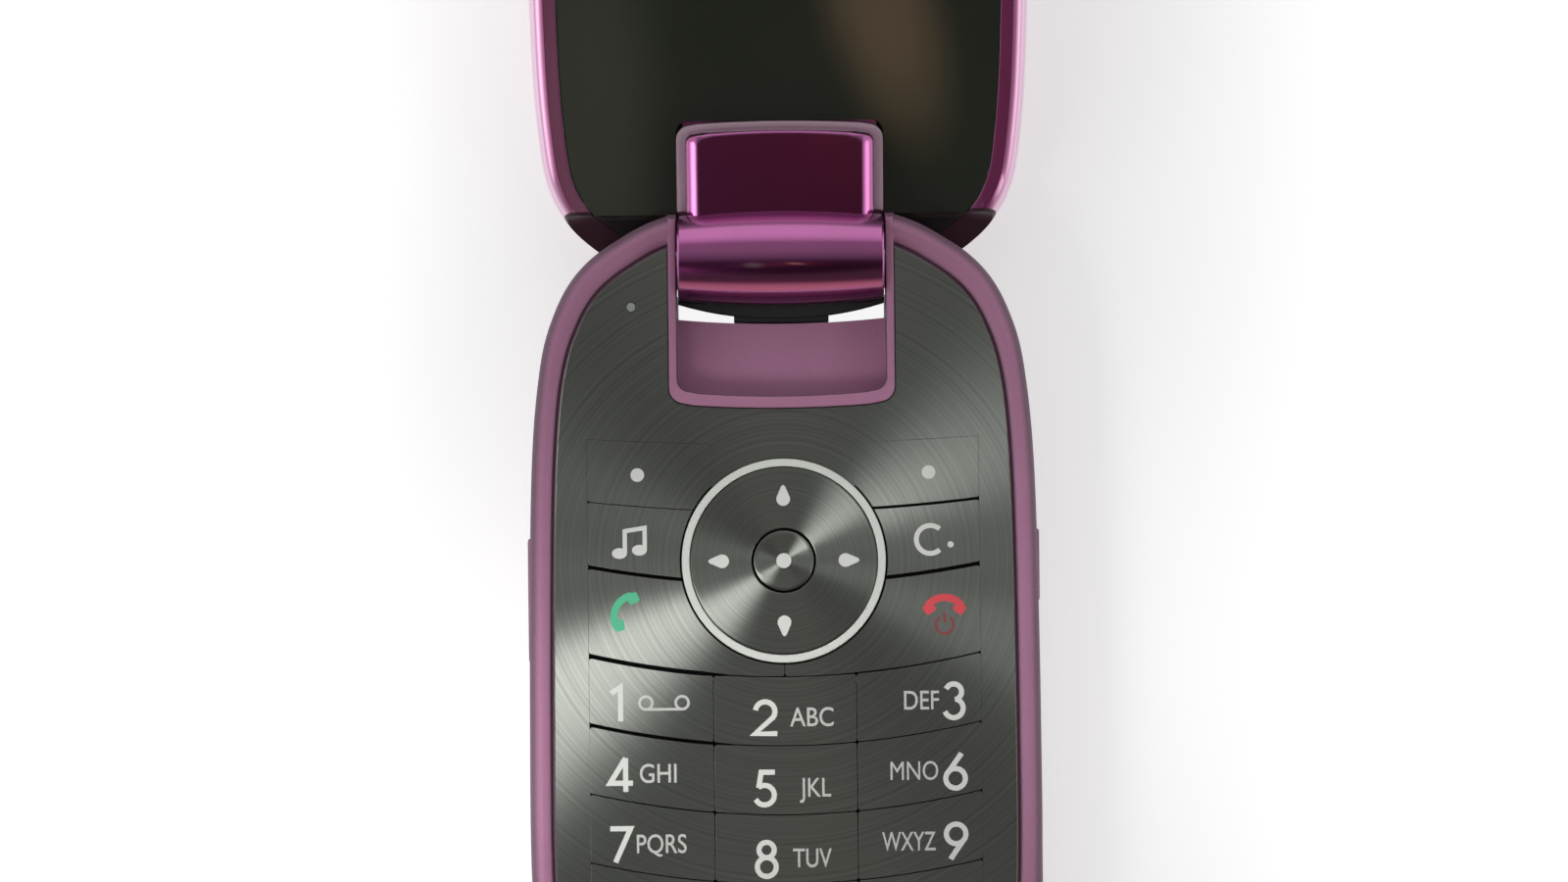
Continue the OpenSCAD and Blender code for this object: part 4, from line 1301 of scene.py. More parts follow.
    def build(self) -> None:
        """Makes and dresses the keypad's face."""
        for name, column, row in self.keys():
            self.key(name, column, row)
        self.panel()
        self.centre_pad()


@dataclass
class Legends:
    """Printing on the keys: plain figures, letters and signs, thin as ink."""

    face: KeypadFace
    stroke: float = 0.5
    ink: float = 0.015
    tall: float = 3.5
    sign_stroke: float = 0.42
    small_stroke: float = 0.26
    bold: float = 0.006
    sharpest: float = 0.45
    capitals: float = 2.6
    # Where the signs' middles are, and their sizes.
    soft_dot: Sizes = (14.05, 21.1, 0.66)
    note_place: Sizes = (-14.7, 14.55)
    note_head: Sizes = (0.72, 0.52)
    clear_place: Sizes = (14.15, 14.6)
    clear_r: float = 1.35
    clear_dot: Sizes = (1.95, -0.5, 0.3)
    call_place: Sizes = (-16.2, 8.4)
    end_place: Sizes = (15.45, 9.0)
    power_place: Sizes = (15.45, 6.35)
    power_r: float = 0.85
    tape_x: float = -11.7
    middle_dot_r: float = 0.72
    dish_drop: float = 0.055
    # The rows' distances from the axis, and the figures' places across.
    rows_d: Sizes = (42.9, 49.7, 56.5, 63.3)
    columns: Sizes = (-16.0, -1.95, 16.35)
    middle_drop: float = 1.5
    # Each key's letters, their place across and their narrowness, in the keys' order.
    letters: tuple[tuple[str, float, float], ...] = (
        ("", 0, 0), ("ABC", 2.6, 0.85), ("DEF", 13.1, 0.8), ("GHI", -12.3, 0.85),
        ("JKL", 2.9, 0.8), ("MNO", 12.35, 0.78), ("PQRS", -12.1, 0.8), ("TUV", 2.45, 0.75),
        ("WXYZ", 11.8, 0.66), ("", 0, 0), ("+", 2.6, 0.8), ("", 0, 0),
    )

    def figure(self, mark: str) -> list[Plan]:
        """Draws a figure's strokes in a box one high.

        Args:
            mark: The figure, or star or hash.

        Returns:
            Its strokes; a stroke that ends where it starts is a loop.
        """
        c, six_r, round_r = 0.33, 0.27, 0.29
        lines = {
            "1": [[(0.1, 0.78), (0.36, 0.95), (0.36, 0.0)]],
            "2": [arc((c, 0.66), 0.27, 172, -38, 14) + [(0.04, 0.05), (0.66, 0.05)]],
            "3": [arc((0.3, 0.72), 0.22, 158, -80, 14), arc((0.3, 0.27), 0.26, 80, -160, 16)],
            "4": [[(0.48, 0.0), (0.48, 0.93)], [(0.48, 0.93), (0.05, 0.24), (0.68, 0.24)]],
            "5": [[(0.58, 0.93), (0.2, 0.93), (0.13, 0.5)],
                  arc((0.29, 0.3), 0.27, 128, -155, 16)],
            "6": [arc((c, 0.28), six_r, 0, 360, 32), [(0.5, 0.97), (0.11, 0.42)]],
            "7": [[(0.04, 0.93), (0.6, 0.93), (0.18, 0.0)]],
            "8": [arc((c, 0.73), 0.21, 0, 360, 30), arc((c, 0.26), 0.26, 0, 360, 32)],
            "9": [arc((c, 0.69), six_r, 0, 360, 32), [(0.56, 0.56), (0.17, 0.0)]],
            "0": [[(c + round_r * math.cos(a), 0.49 + 0.45 * math.sin(a))
                   for a in (2 * math.pi * k / 36 for k in range(37))]],
            "star": [[(c + 0.26 * math.cos(a), 0.6 + 0.26 * math.sin(a)),
                      (c - 0.26 * math.cos(a), 0.6 - 0.26 * math.sin(a))]
                     for a in (math.radians(30 + 60 * k) for k in range(3))],
            "hash": [[(0.2, 0.12), (0.3, 0.88)], [(0.44, 0.12), (0.54, 0.88)],
                     [(0.06, 0.34), (0.66, 0.34)], [(0.08, 0.64), (0.68, 0.64)]],
        }
        return lines[mark]

    def ribbon(self, path: Plan, width: float, low: float) -> Piece:
        """Sweeps a flat ribbon of ink along a path.

        Args:
            path: The path's points; it is a loop if it ends where it starts.
            width: The ribbon's width.
            low: The height that it lies on.

        Returns:
            The ribbon.
        """
        high = low + self.ink
        if math.dist(path[0], path[-1]) < 0.001:
            loop = path[:-1]
            ring = Bench.slab("ink", moved_in(loop, -width / 2), low, high)
            hole = Bench.slab("hole", moved_in(loop, width / 2), low - 1, high + 1)
            return Bench.cut(ring, hole)
        rings = []
        for place, point in enumerate(path):
            here = Vector(point)
            before = Vector(path[max(place - 1, 0)])
            after = Vector(path[min(place + 1, len(path) - 1)])
            ways = [way.normalized() for way in (here - before, after - here) if way.length > 0]
            along = (ways[0] + ways[-1]).normalized()
            across = Vector((-along.y, along.x))
            reach = width / 2 / max(self.sharpest, along.dot(ways[0]))
            left, right = here + across * reach, here - across * reach
            rings.append([Vector((*left, low)), Vector((*right, low)), Vector((*right, high)),
                          Vector((*left, high))])
        return Bench.loft("ink", rings)

    def print_strokes(self, name: str, body: str, strokes: list[Plan], width: float,
                      ink: Finish = WHITE_INK) -> None:
        """Prints strokes on a key as one piece.

        Args:
            name: The piece's name.
            body: The key.
            strokes: The strokes' paths.
            width: Their width.
            ink: Their ink.
        """
        parts = [self.ribbon(path, width, self.face.key_z[1]) for path in strokes]
        piece = Bench.join(*parts)
        piece.name = name
        Bench.deliver(piece, body, ink)

    def print_shape(self, name: str, body: str, plan: Plan, lift: float = 0.0) -> None:
        """Prints a filled shape on a key, or a little above or below its top."""
        low = self.face.key_z[1] + lift
        Bench.deliver(Bench.slab(name, plan, low, low + self.ink), body, WHITE_INK)

    def print_words(self, name: str, body: str, words: str, place: Sizes,
                    narrow: float) -> None:
        """Prints small capitals.

        Args:
            name: The piece's name.
            body: The key.
            words: The letters.
            place: Their middle.
            narrow: Their width, as a share of the typeface's.
        """
        Bench.clear()
        bpy.ops.object.text_add()
        piece = bpy.context.active_object
        piece.data.body, piece.data.size = words, self.capitals
        # The typeface's M fills its gaps when it is thickened, so it keeps its own weight.
        piece.data.offset = 0.0 if "M" in words else self.bold * self.capitals
        piece.data.align_x, piece.data.align_y = "CENTER", "CENTER"
        bpy.ops.object.convert(target="MESH")
        piece.name = piece.data.name = name
        piece.data.transform(Matrix.Translation((*place, self.face.key_z[1]))
                             @ Matrix.Diagonal((narrow, 1.0, 1.0, 1.0)))
        Bench.merge(piece)
        thick = piece.modifiers.new("ink", "SOLIDIFY")
        thick.thickness, thick.offset = self.ink, 1.0
        bpy.ops.object.modifier_apply(modifier=thick.name)
        Bench.deliver(piece, body, SMALL_INK)

    def numbers(self) -> None:
        """Prints the number keys."""
        tall = self.tall
        rows = [self.face.hinge.y - d for d in self.rows_d]
        for count, mark in enumerate(self.face.numbers):
            column, body = count % 3, "key_" + mark
            y = rows[count // 3] - (self.middle_drop if column == 1 else 0)
            left, low = self.columns[column] - 0.66 * tall / 2, y - tall / 2
            strokes = [[(left + tall * a, low + tall * b) for a, b in path]
                       for path in self.figure(mark)]
            self.print_strokes("figure_" + mark, body, strokes, self.stroke)
            words, x, narrow = self.letters[count]
            if words:
                self.print_words("letters_" + mark, body, words, (x, y - 0.1), narrow)
        self.tape("key_1", (self.tape_x, rows[0]))

    def tape(self, body: str, place: Sizes) -> None:
        """Prints two joined reels, the sign for recorded messages, beside the figure 1."""
        (x, y), apart, r = place, 1.75, 0.62
        reels = [arc((x + side * apart, y), r, 0, 360, 28) for side in (-1, 1)]
        self.print_strokes("sign_tape", body, reels + [
            [(x - apart, y - r), (x + apart, y - r)]], self.small_stroke, SMALL_INK)

    def signs(self) -> None:
        """Prints the signs of the upper keys."""
        x, y, r = self.soft_dot
        for side, middle in (("left", -x), ("right", x)):
            dot = arc((middle, y), r, 0, 350, 35)
            self.print_shape("dot_" + side, "soft_key_" + side, dot)
        self.note(self.note_place)
        (x, y), (right, up, r) = self.clear_place, self.clear_dot
        self.print_strokes("sign_clear", "clear_key", [
            arc((x, y), self.clear_r, 48, 312, 26)], self.sign_stroke + 0.05)
        self.print_shape("sign_clear_dot", "clear_key", arc((x + right, y + up), r, 0, 345, 23))
        self.handset("sign_call", "call_key", self.call_place, 62.0, GREEN_INK)
        self.handset("sign_end", "end_key", self.end_place, 0.0, RED_INK)
        x, y = self.power_place
        self.print_strokes("sign_power", "end_key", [
            arc((x, y), self.power_r, 125, 415, 24), [(x, y + 0.2), (x, y + 1.15)]],
            self.small_stroke - 0.02, DIM_RED_INK)

    def note(self, place: Sizes) -> None:
        """Prints two joined music notes."""
        x, y = place
        stems = [[(x - 0.62, y - 0.95), (x - 0.62, y + 1.15), (x + 1.3, y + 1.45),
                  (x + 1.3, y - 0.65)]]
        self.print_strokes("sign_note", "music_key", stems, self.sign_stroke)
        for count, (a, b) in enumerate(((x - 1.15, y - 1.0), (x + 0.78, y - 0.7))):
            head = [(a + self.note_head[0] * math.cos(t), b + self.note_head[1] * math.sin(t))
                    for t in (2 * math.pi * k / 28 for k in range(28))]
            self.print_shape(f"sign_note_{count}", "music_key", head, 0.002)

    def handset(self, name: str, body: str, place: Sizes, turn: float,
                ink: Finish) -> None:
        """Prints a telephone handset: a bowed grip with a cup at each end.

        Args:
            name: The piece's name.
            body: The key that it is printed on.
            place: Where the middle of the grip is.
            turn: How far it is turned, in degrees.
            ink: Its ink.
        """
        bow, spread, width = 2.1, 52.0, 0.7
        cup, slant = (0.55, 0.5), 38.0
        low = self.face.key_z[1]
        grip = arc((0, -bow), bow, 90 - spread, 90 + spread, 16)
        piece = self.ribbon(grip, width, low)
        for side, end in ((1, grip[0]), (-1, grip[-1])):
            tip = Matrix.Rotation(math.radians(-side * slant), 2)
            shown = [tuple(Vector(end) + tip @ (Vector(point) + Vector((0, -0.3))))
                     for point in rectangle((-cup[0], -cup[1]), cup, 0.25)]
            Bench.join(piece, Bench.slab("cup", shown, low, low + self.ink))
        spin = Matrix.Translation((*place, 0)) @ Matrix.Rotation(math.radians(turn), 4, "Z")
        piece.data.transform(spin)
        piece.name = name
        Bench.deliver(piece, body, ink)

    def arrows(self) -> None:
        """Prints the pad's four drops and the dot on the key in the middle."""
        reach, centre = 6.2, Vector((0, self.face.nav_y))
        for count in range(4):
            turn = Matrix.Rotation(math.radians(90 * count), 2)
            drop = arc((0, -0.25), 0.66, 160, 380, 20) + [(0.2, 0.95), (0.0, 1.12), (-0.2, 0.95)]
            shown = [tuple(centre + turn @ (Vector(p) + Vector((0, reach)))) for p in drop]
            self.print_shape(f"drop_{count}", "nav_pad", shown)
        dot = arc(tuple(centre), self.middle_dot_r, 0, 350, 35)
        self.print_shape("dot_middle", "ok_key", dot, -self.dish_drop)

    def build(self) -> None:
        """Prints everything."""
        self.numbers()
        self.signs()
        self.arrows()


@dataclass
class SidePieces:
    """Rocker, camera key and socket flap in the side walls."""

    casing: KeypadCasing

    def bar(self, name: str, window: int, proud: float, depth: float, node: str) -> None:
        """Makes one bar that fills its window, with a pillowed face.

        Args:
            name: The piece's name.
            window: The window's place among the casing's.
            proud: How far it stands out.
            depth: How far it reaches in.
            node: Its node, which is its body too.
        """
        side, y, length, tall = self.casing.side_windows[window]
        x, z = self.casing.side_x(y), self.casing.side_z
        rings = []
        for inset, out in ((0.0, -depth), (0.0, proud - 0.2), (0.06, proud - 0.06), (0.2, proud)):
            half, high = length / 2 - inset, tall / 2 - inset
            shown = rectangle((y - half, z - high), (y + half, z + high), 0.35)
            rings.append([Vector((side * (x + out), a, b)) for a, b in shown])
        Bench.deliver(Bench.loft(name, rings), node, SATIN_MAUVE, node)

    def build(self) -> None:
        """Makes the three bars."""
        self.bar("rocker_bar", 0, 0.15, 1.7, "volume_rocker")
        self.bar("camera_bar", 1, 0.15, 1.7, "camera_key")
        self.bar("socket_flap", 2, 0.1, 1.1, "port_cover")


# ---------------------------------------------------------------- hinge


@dataclass
class HingeBarrel:
    """Crowned barrel with the neck that carries the display half."""

    hinge: Hinge
    radius: float = 4.7
    end_radius: float = 4.1
    length: float = 19.9
    neck_half: float = 9.1
    neck_top_half: float = 7.8
    neck_reach: float = 13.0
    neck_low: float = 7.9
    neck_bow: float = 0.4
    # The corners' radius, and how much more it is on the skirt.
    corner: Sizes = (0.9, 0.45)
    shoulder: float = 1.0
    shoulder_power: float = 1.4
    end_round: float = 0.3
    # How much wider and longer the skirt is than the neck, and where it starts and is full.
    skirt: Sizes = (0.9, 0.5)
    skirt_rises: Sizes = (2.5, 2.8)
    neck_high: float = 11.93
    # The tongue behind the window: half width, nearest and furthest, low and high.
    tongue: Sizes = (9.4, 4, 19, 11.73, 12.43)
    pin_r: float = 0.95
    cartridge_r: float = 2.6

    def crown(self, x: float) -> float:
        """Returns the barrel's radius at a place across."""
        drop = self.radius - self.end_radius
        return self.radius - drop * (2 * x / self.length) ** 2

    def barrel(self) -> Piece:
        """Turns the barrel with its rounded ends."""
        half, edge = self.length / 2, 0.18
        r = self.crown(half)
        start = [(r - edge, -half), (r - 0.1, -half + 0.1)]
        steps = 24
        middle = [(self.crown(x), x)
                  for x in ((half - edge) * (2 * k / steps - 1) for k in range(steps + 1))]
        end = [(r - 0.1, half - 0.1), (r - edge, half)]
        return Bench.turned("barrel", (0, self.hinge.y, self.hinge.z), start + middle + end,
                            Lean.ACROSS, 160)

    def neck_ring(self, rise: float, out: float = 0.0) -> Ring:
        """Draws the neck's plan at a height over its top face, with a share of its skirt."""
        share = min(1.0, rise / self.shoulder)
        power = self.shoulder_power
        half = self.neck_top_half + (self.neck_half - self.neck_top_half) * max(
            0.0, 1 - (1 - share) ** power) ** (1 / power)
        tight = min(1.0, rise / self.end_round)
        back = self.end_round * (1 - math.sqrt(max(0.0, 1 - (1 - tight) ** 2)))
        half += out * self.skirt[0]
        low = self.hinge.y - self.neck_reach + back + (1 - out) * self.skirt[1]
        r = self.corner[0] + self.corner[1] * out
        bow, near = self.neck_bow, self.hinge.y - 2
        flat = half - r
        plan = arc((-half + r, low + bow + r), r, 180, 262, 10)
        plan += [(x, low + bow * (x / half) ** 2)
                 for x in (flat * k / 12 for k in range(-11, 12))]
        plan += arc((half - r, low + bow + r), r, 278, 360, 10)
        plan += [(half, near), (-half, near)]
        return level(plan, self.neck_low + rise)

    def build(self) -> None:
        """Joins barrel and neck and bores them for the pins."""
        rises = [self.shoulder * (1 - math.cos(math.radians(a))) for a in range(0, 91, 6)]
        rises += [self.end_round * k / 5 for k in range(1, 6)]
        heights = sorted(set(round(rise, 4) for rise in rises)) + [self.neck_high - self.neck_low]
        neck = Bench.loft("neck", [self.neck_ring(rise) for rise in heights])
        piece = Bench.join(self.barrel(), neck)
        half, near, far, low, high = self.tongue
        Bench.join(piece, Bench.block("tongue", (-half, self.hinge.y - far, low),
                                      (half, self.hinge.y - near, high)))
        Bench.cut(piece, self.hinge.rod("pin", self.pin_r, -20, -self.length / 2 + 3.5),
                  self.hinge.rod("cartridge", self.cartridge_r, -6, 20))
        # The neck's skirt, whose dim mauve-grey is a painted reflection.
        start, end = self.skirt_rises
        skirt = Bench.loft("neck_skirt", [self.neck_ring(start), self.neck_ring(end, 1.0),
                                          self.neck_ring(self.neck_high - self.neck_low, 1.0)])
        Bench.cut(skirt, self.hinge.rod("barrel", self.radius + 0.05, -11, 11, steps=96))
        self.hinge.hang(skirt, SKIRT_PAINTED_REFLECTION)
        piece.name = "barrel_and_neck"
        self.hinge.hang(piece, BARREL_MAGENTA, "hinge_barrel")


# ---------------------------------------------------------------- display half


LID_HALF = (
    (0, -6.2), (10.7, -4.2), (16.4, -1.6), (20.2, 1.4), (22.8, 5.5), (23.9, 11), (24.55, 22),
) + Outline.half[7:]


@dataclass
class DisplayHalf:
    """Outer cover, glass, inner frame and what shows on the back, drawn closed."""

    outline: Outline
    hinge: Hinge
    low: float = 10.9
    top: float = 16.9
    inset: float = 0.5
    rim: float = 2.65
    glass_z: float = 10.98
    frame_z: float = 11.73
    frame_t: float = 1.5
    skin: float = 0.9
    bay_half: float = 10.1
    tail: float = 3.9
    tail_r: float = 8.38
    neck_half: float = 10.04
    neck_reach: float = 13.04
    camera_d: float = 24.0
    window_middle_d: float = 45.0
    window_half: float = 13.0
    ear_d: float = 79.0
    cove_r: float = 4.6
    # The outer radius of the cove's band of painted shade.
    painted_shade_r: float = 4.9
    barrel_r: float = 4.75
    # Half width, nearest and furthest from the axis.
    screen: Sizes = (18.5, 19.7, 73.3)
    # Half width, furthest from the axis, and top.
    tongue: Sizes = (9.6, 19.2, 12.48)
    stop_place: Sizes = (15.5, 77.0)
    # The cover's round section, as inset and rise.
    edge: tuple[Sizes, ...] = (
        (1.5, 0), (0.9, 0.25), (0.38, 0.7), (0.09, 1.3), (0, 2.0), (0.15, 3.2), (0.65, 4.3),
        (1.7, 5.3), (3.4, 6.0),
    )

    def solid(self, name: str, levels: Plan) -> Piece:
        """Lofts the display half's outline through levels."""
        return self.outline.solid(name, [(self.inset + inset, z) for inset, z in levels])

    def clearances(self, cove: float) -> list[Piece]:
        """Shapes the room that the hinge needs, with a radius for the cove."""
        y, z, wide = self.hinge.y, self.hinge.z, REACH + 1
        tail = Bench.block("tail", (-wide, y, z), (wide, y + 20, 40))
        round_end = self.hinge.rod("round", self.tail_r, -wide - 1, wide + 1, steps=160)
        neck = rectangle((-self.neck_half, y - self.neck_reach), (self.neck_half, y + 2), 1.35)
        return [
            self.hinge.rod("cove", cove, -REACH, REACH, steps=128),
            self.hinge.rod("barrel", self.barrel_r, -self.bay_half, self.bay_half, steps=128),
            Bench.slab("neck", neck, z - 1, self.frame_z + 0.3),
            Bench.block("end", (-wide, y + self.tail, 0), (wide, y + 20, 40)),
            Bench.cut(tail, round_end),
        ]

    def window_plan(self, grow: float) -> Plan:
        """Draws the outer window."""
        middle = self.hinge.y - self.window_middle_d
        reach = self.window_half + grow
        return rectangle((-reach, middle - reach), (reach, middle + reach), 2.0)

    def slot_plan(self, grow: float) -> Plan:
        """Draws the earpiece's slot."""
        y = self.hinge.y - self.ear_d
        return rectangle((-4.5 - grow, y - 0.7 - grow), (4.5 + grow, y + 0.7 + grow), 0.65 + grow)

    def shell(self, name: str) -> Piece:
        """Lofts the cover's outer shape, hollowed for the glass and the frame."""
        levels = [(inset, self.low + rise) for inset, rise in curve_through(self.edge, 4)]
        piece = self.solid(name, levels)
        lip, rim, low = 0.18, self.rim, self.low
        mouth = [(rim - lip, low - 1), (rim - lip, low - 0.001), (rim - 0.3 * lip, low + 0.3 * lip),
                 (rim, low + lip), (rim, low + 4)]
        inner = [(3.0, low + 3.9), (3.0, self.top - self.skin)]
        return Bench.cut(piece, self.solid("mouth", mouth), self.solid("inner", inner))

    def cover(self) -> None:
        """Moulds the lacquered cover, and a band of painted shade in deep maroon over its cove."""
        top = self.top
        piece = Bench.cut(self.shell("display_cover"), *self.clearances(self.painted_shade_r))
        reach = self.hinge.rod("reach", self.painted_shade_r, -REACH, REACH, steps=128)
        painted_cove_band = Bench.keep(self.shell("painted_shade_cove_band"), reach)
        Bench.cut(painted_cove_band, *self.clearances(self.cove_r))
        self.hinge.hang(painted_cove_band, COVE_PAINTED_SHADE)
        seat = Bench.stack("seat", self.window_plan(0), [
            (0, top - 0.6), (0, top - 0.12), (-0.12, top + 0.005), (-0.12, top + 1)])
        hole = Bench.slab("hole", self.window_plan(-1.5), top - 3, top)
        camera = Bench.turned("camera", (0, self.hinge.y - self.camera_d, 0), [
            (3.4, top - 3), (3.4, top - 0.15), (3.55, top + 0.005), (3.55, top + 2)])
        Bench.cut(piece, seat, hole, camera)
        self.hinge.hang(piece, CANDY_MAGENTA, "lid_outer_cover")

    def glass(self) -> None:
        """Grinds the window, with a polished edge."""
        rim, low, polish = self.rim + 0.05, self.glass_z, 0.1
        piece = self.solid("display_glass", [
            (rim + polish, low), (rim + 0.3 * polish, low + 0.3 * polish), (rim, low + polish),
            (rim, self.frame_z)])
        past = Bench.block("past", (-REACH - 1, self.hinge.y, 0), (REACH + 1, 60, 40))
        opening = Bench.stack("slot", self.slot_plan(0), [
            (-0.1, low - 1), (-0.1, low - 0.005), (0, low + 0.1), (0, low + 3)])
        Bench.cut(piece, *self.clearances(self.cove_r), past, opening)
        self.hinge.hang(piece, BLACK_GLASS, "display_window")

    def inner_frame(self) -> None:
        """Moulds the black frame behind the glass, with the cove about the ears."""
        rim, y = self.rim + 0.05, self.hinge.y
        piece = self.solid("inner_frame", [(rim, self.frame_z), (rim, self.frame_z + self.frame_t)])
        half, near, far = self.screen
        screen = Bench.block("screen", (-half, y - far, 0), (half, y - near, 40))
        half, far, high = self.tongue
        tongue = Bench.block("tongue", (-half, y - far, 0), (half, 60, high))
        ear = Bench.slab("ear", self.slot_plan(2.2), 0, 40)
        Bench.cut(piece, screen, tongue, ear, *self.clearances(self.cove_r))
        self.hinge.hang(piece, BLACK_ABS, "lid_inner_frame")

    def back_details(self) -> None:
        """Adds the outer window, the camera and the bumpers."""
        top, low = self.top, self.low
        window = Bench.stack("back_window", self.window_plan(-0.05), [
            (0, top - 0.6), (0, top - 0.1), (0.03, top - 0.03), (0.1, top)])
        self.hinge.hang(window, BLACK_GLASS, "outer_window")
        centre = (0, self.hinge.y - self.camera_d, 0)
        ring = Bench.turned("camera_ring", centre, [
            (3.35, 13.33), (3.35, top - 0.12), (3.31, top - 0.03), (3.2, top)])
        Bench.cut(ring, Bench.turned("recess", centre, [
            (2.0, top - 0.5), (2.2, top - 0.3), (2.3, top + 0.005), (2.3, top + 1)]))
        self.hinge.hang(ring, BLACK_ABS, "camera_module")
        lens = Bench.turned("camera_lens", centre, [
            (1.9, top - 0.55), (1.9, top - 0.5), (1.6, top - 0.4), (1.2, top - 0.32),
            (0.7, top - 0.26), (0.2, top - 0.24)])
        self.hinge.hang(lens, BLACK_GLASS)
        half, far = self.stop_place
        stops = Bench.join(*(Bench.turned("stop", (x, self.hinge.y - far, 0), [
            (1.1, low + 0.08), (1.1, low - 0.1), (1.0, low - 0.2), (0.7, low - 0.25)], steps=40)
            for x in (-half, half)))
        stops.name = "bumper_domes"
        self.hinge.hang(stops, SILICONE, "lid_bumpers")

    def build(self) -> None:
        """Makes and dresses the display half."""
        self.cover()
        self.glass()
        self.inner_frame()
        self.back_details()


# ---------------------------------------------------------------- inside


@dataclass(frozen=True)
class Internals:
    """What sits inside both halves: the construction's own shapes, with their finishes."""

    nodes: dict[str, Piece]

    def build(self) -> None:
        """Dresses each inner node."""
        finishes = {
            CELL_WRAP: ("battery_pack",),
            GOLD_PLATE: ("battery_contacts",),
            PLATED_STEEL: ("sim_holder", "shield_cans", "vibration_motor", "microphone",
                           "charging_socket", "hinge_pin", "hinge_cam", "hinge_cartridge",
                           "base_screws", "lid_screws"),
            SOLDER_MASK: ("main_board", "lid_board"),
            GREY_NYLON: ("antenna", "nav_carrier"),
            BLACK_ABS: ("loudspeaker", "earpiece"),
            POLYIMIDE: ("dome_sheet", "lid_flex"),
            SILICONE: ("rubber_keymat",),
            DARK_SCREEN: ("main_display", "outer_display"),
        }
        for finish, names in finishes.items():
            for name in names:
                finish.put_on_node(self.nodes[name])
                LOG.info("%s: %s", name, finish.name)


# ---------------------------------------------------------------- studio


@dataclass(frozen=True)
class Zone:
    """Part of the room that glows, or that takes light away: about a direction.

    It starts at one cosine from the direction, and is full at the other.
    """

    towards: Sizes
    start: float
    full: float
    strength: float
    colour: str = "#ffffff"
    darker: bool = False


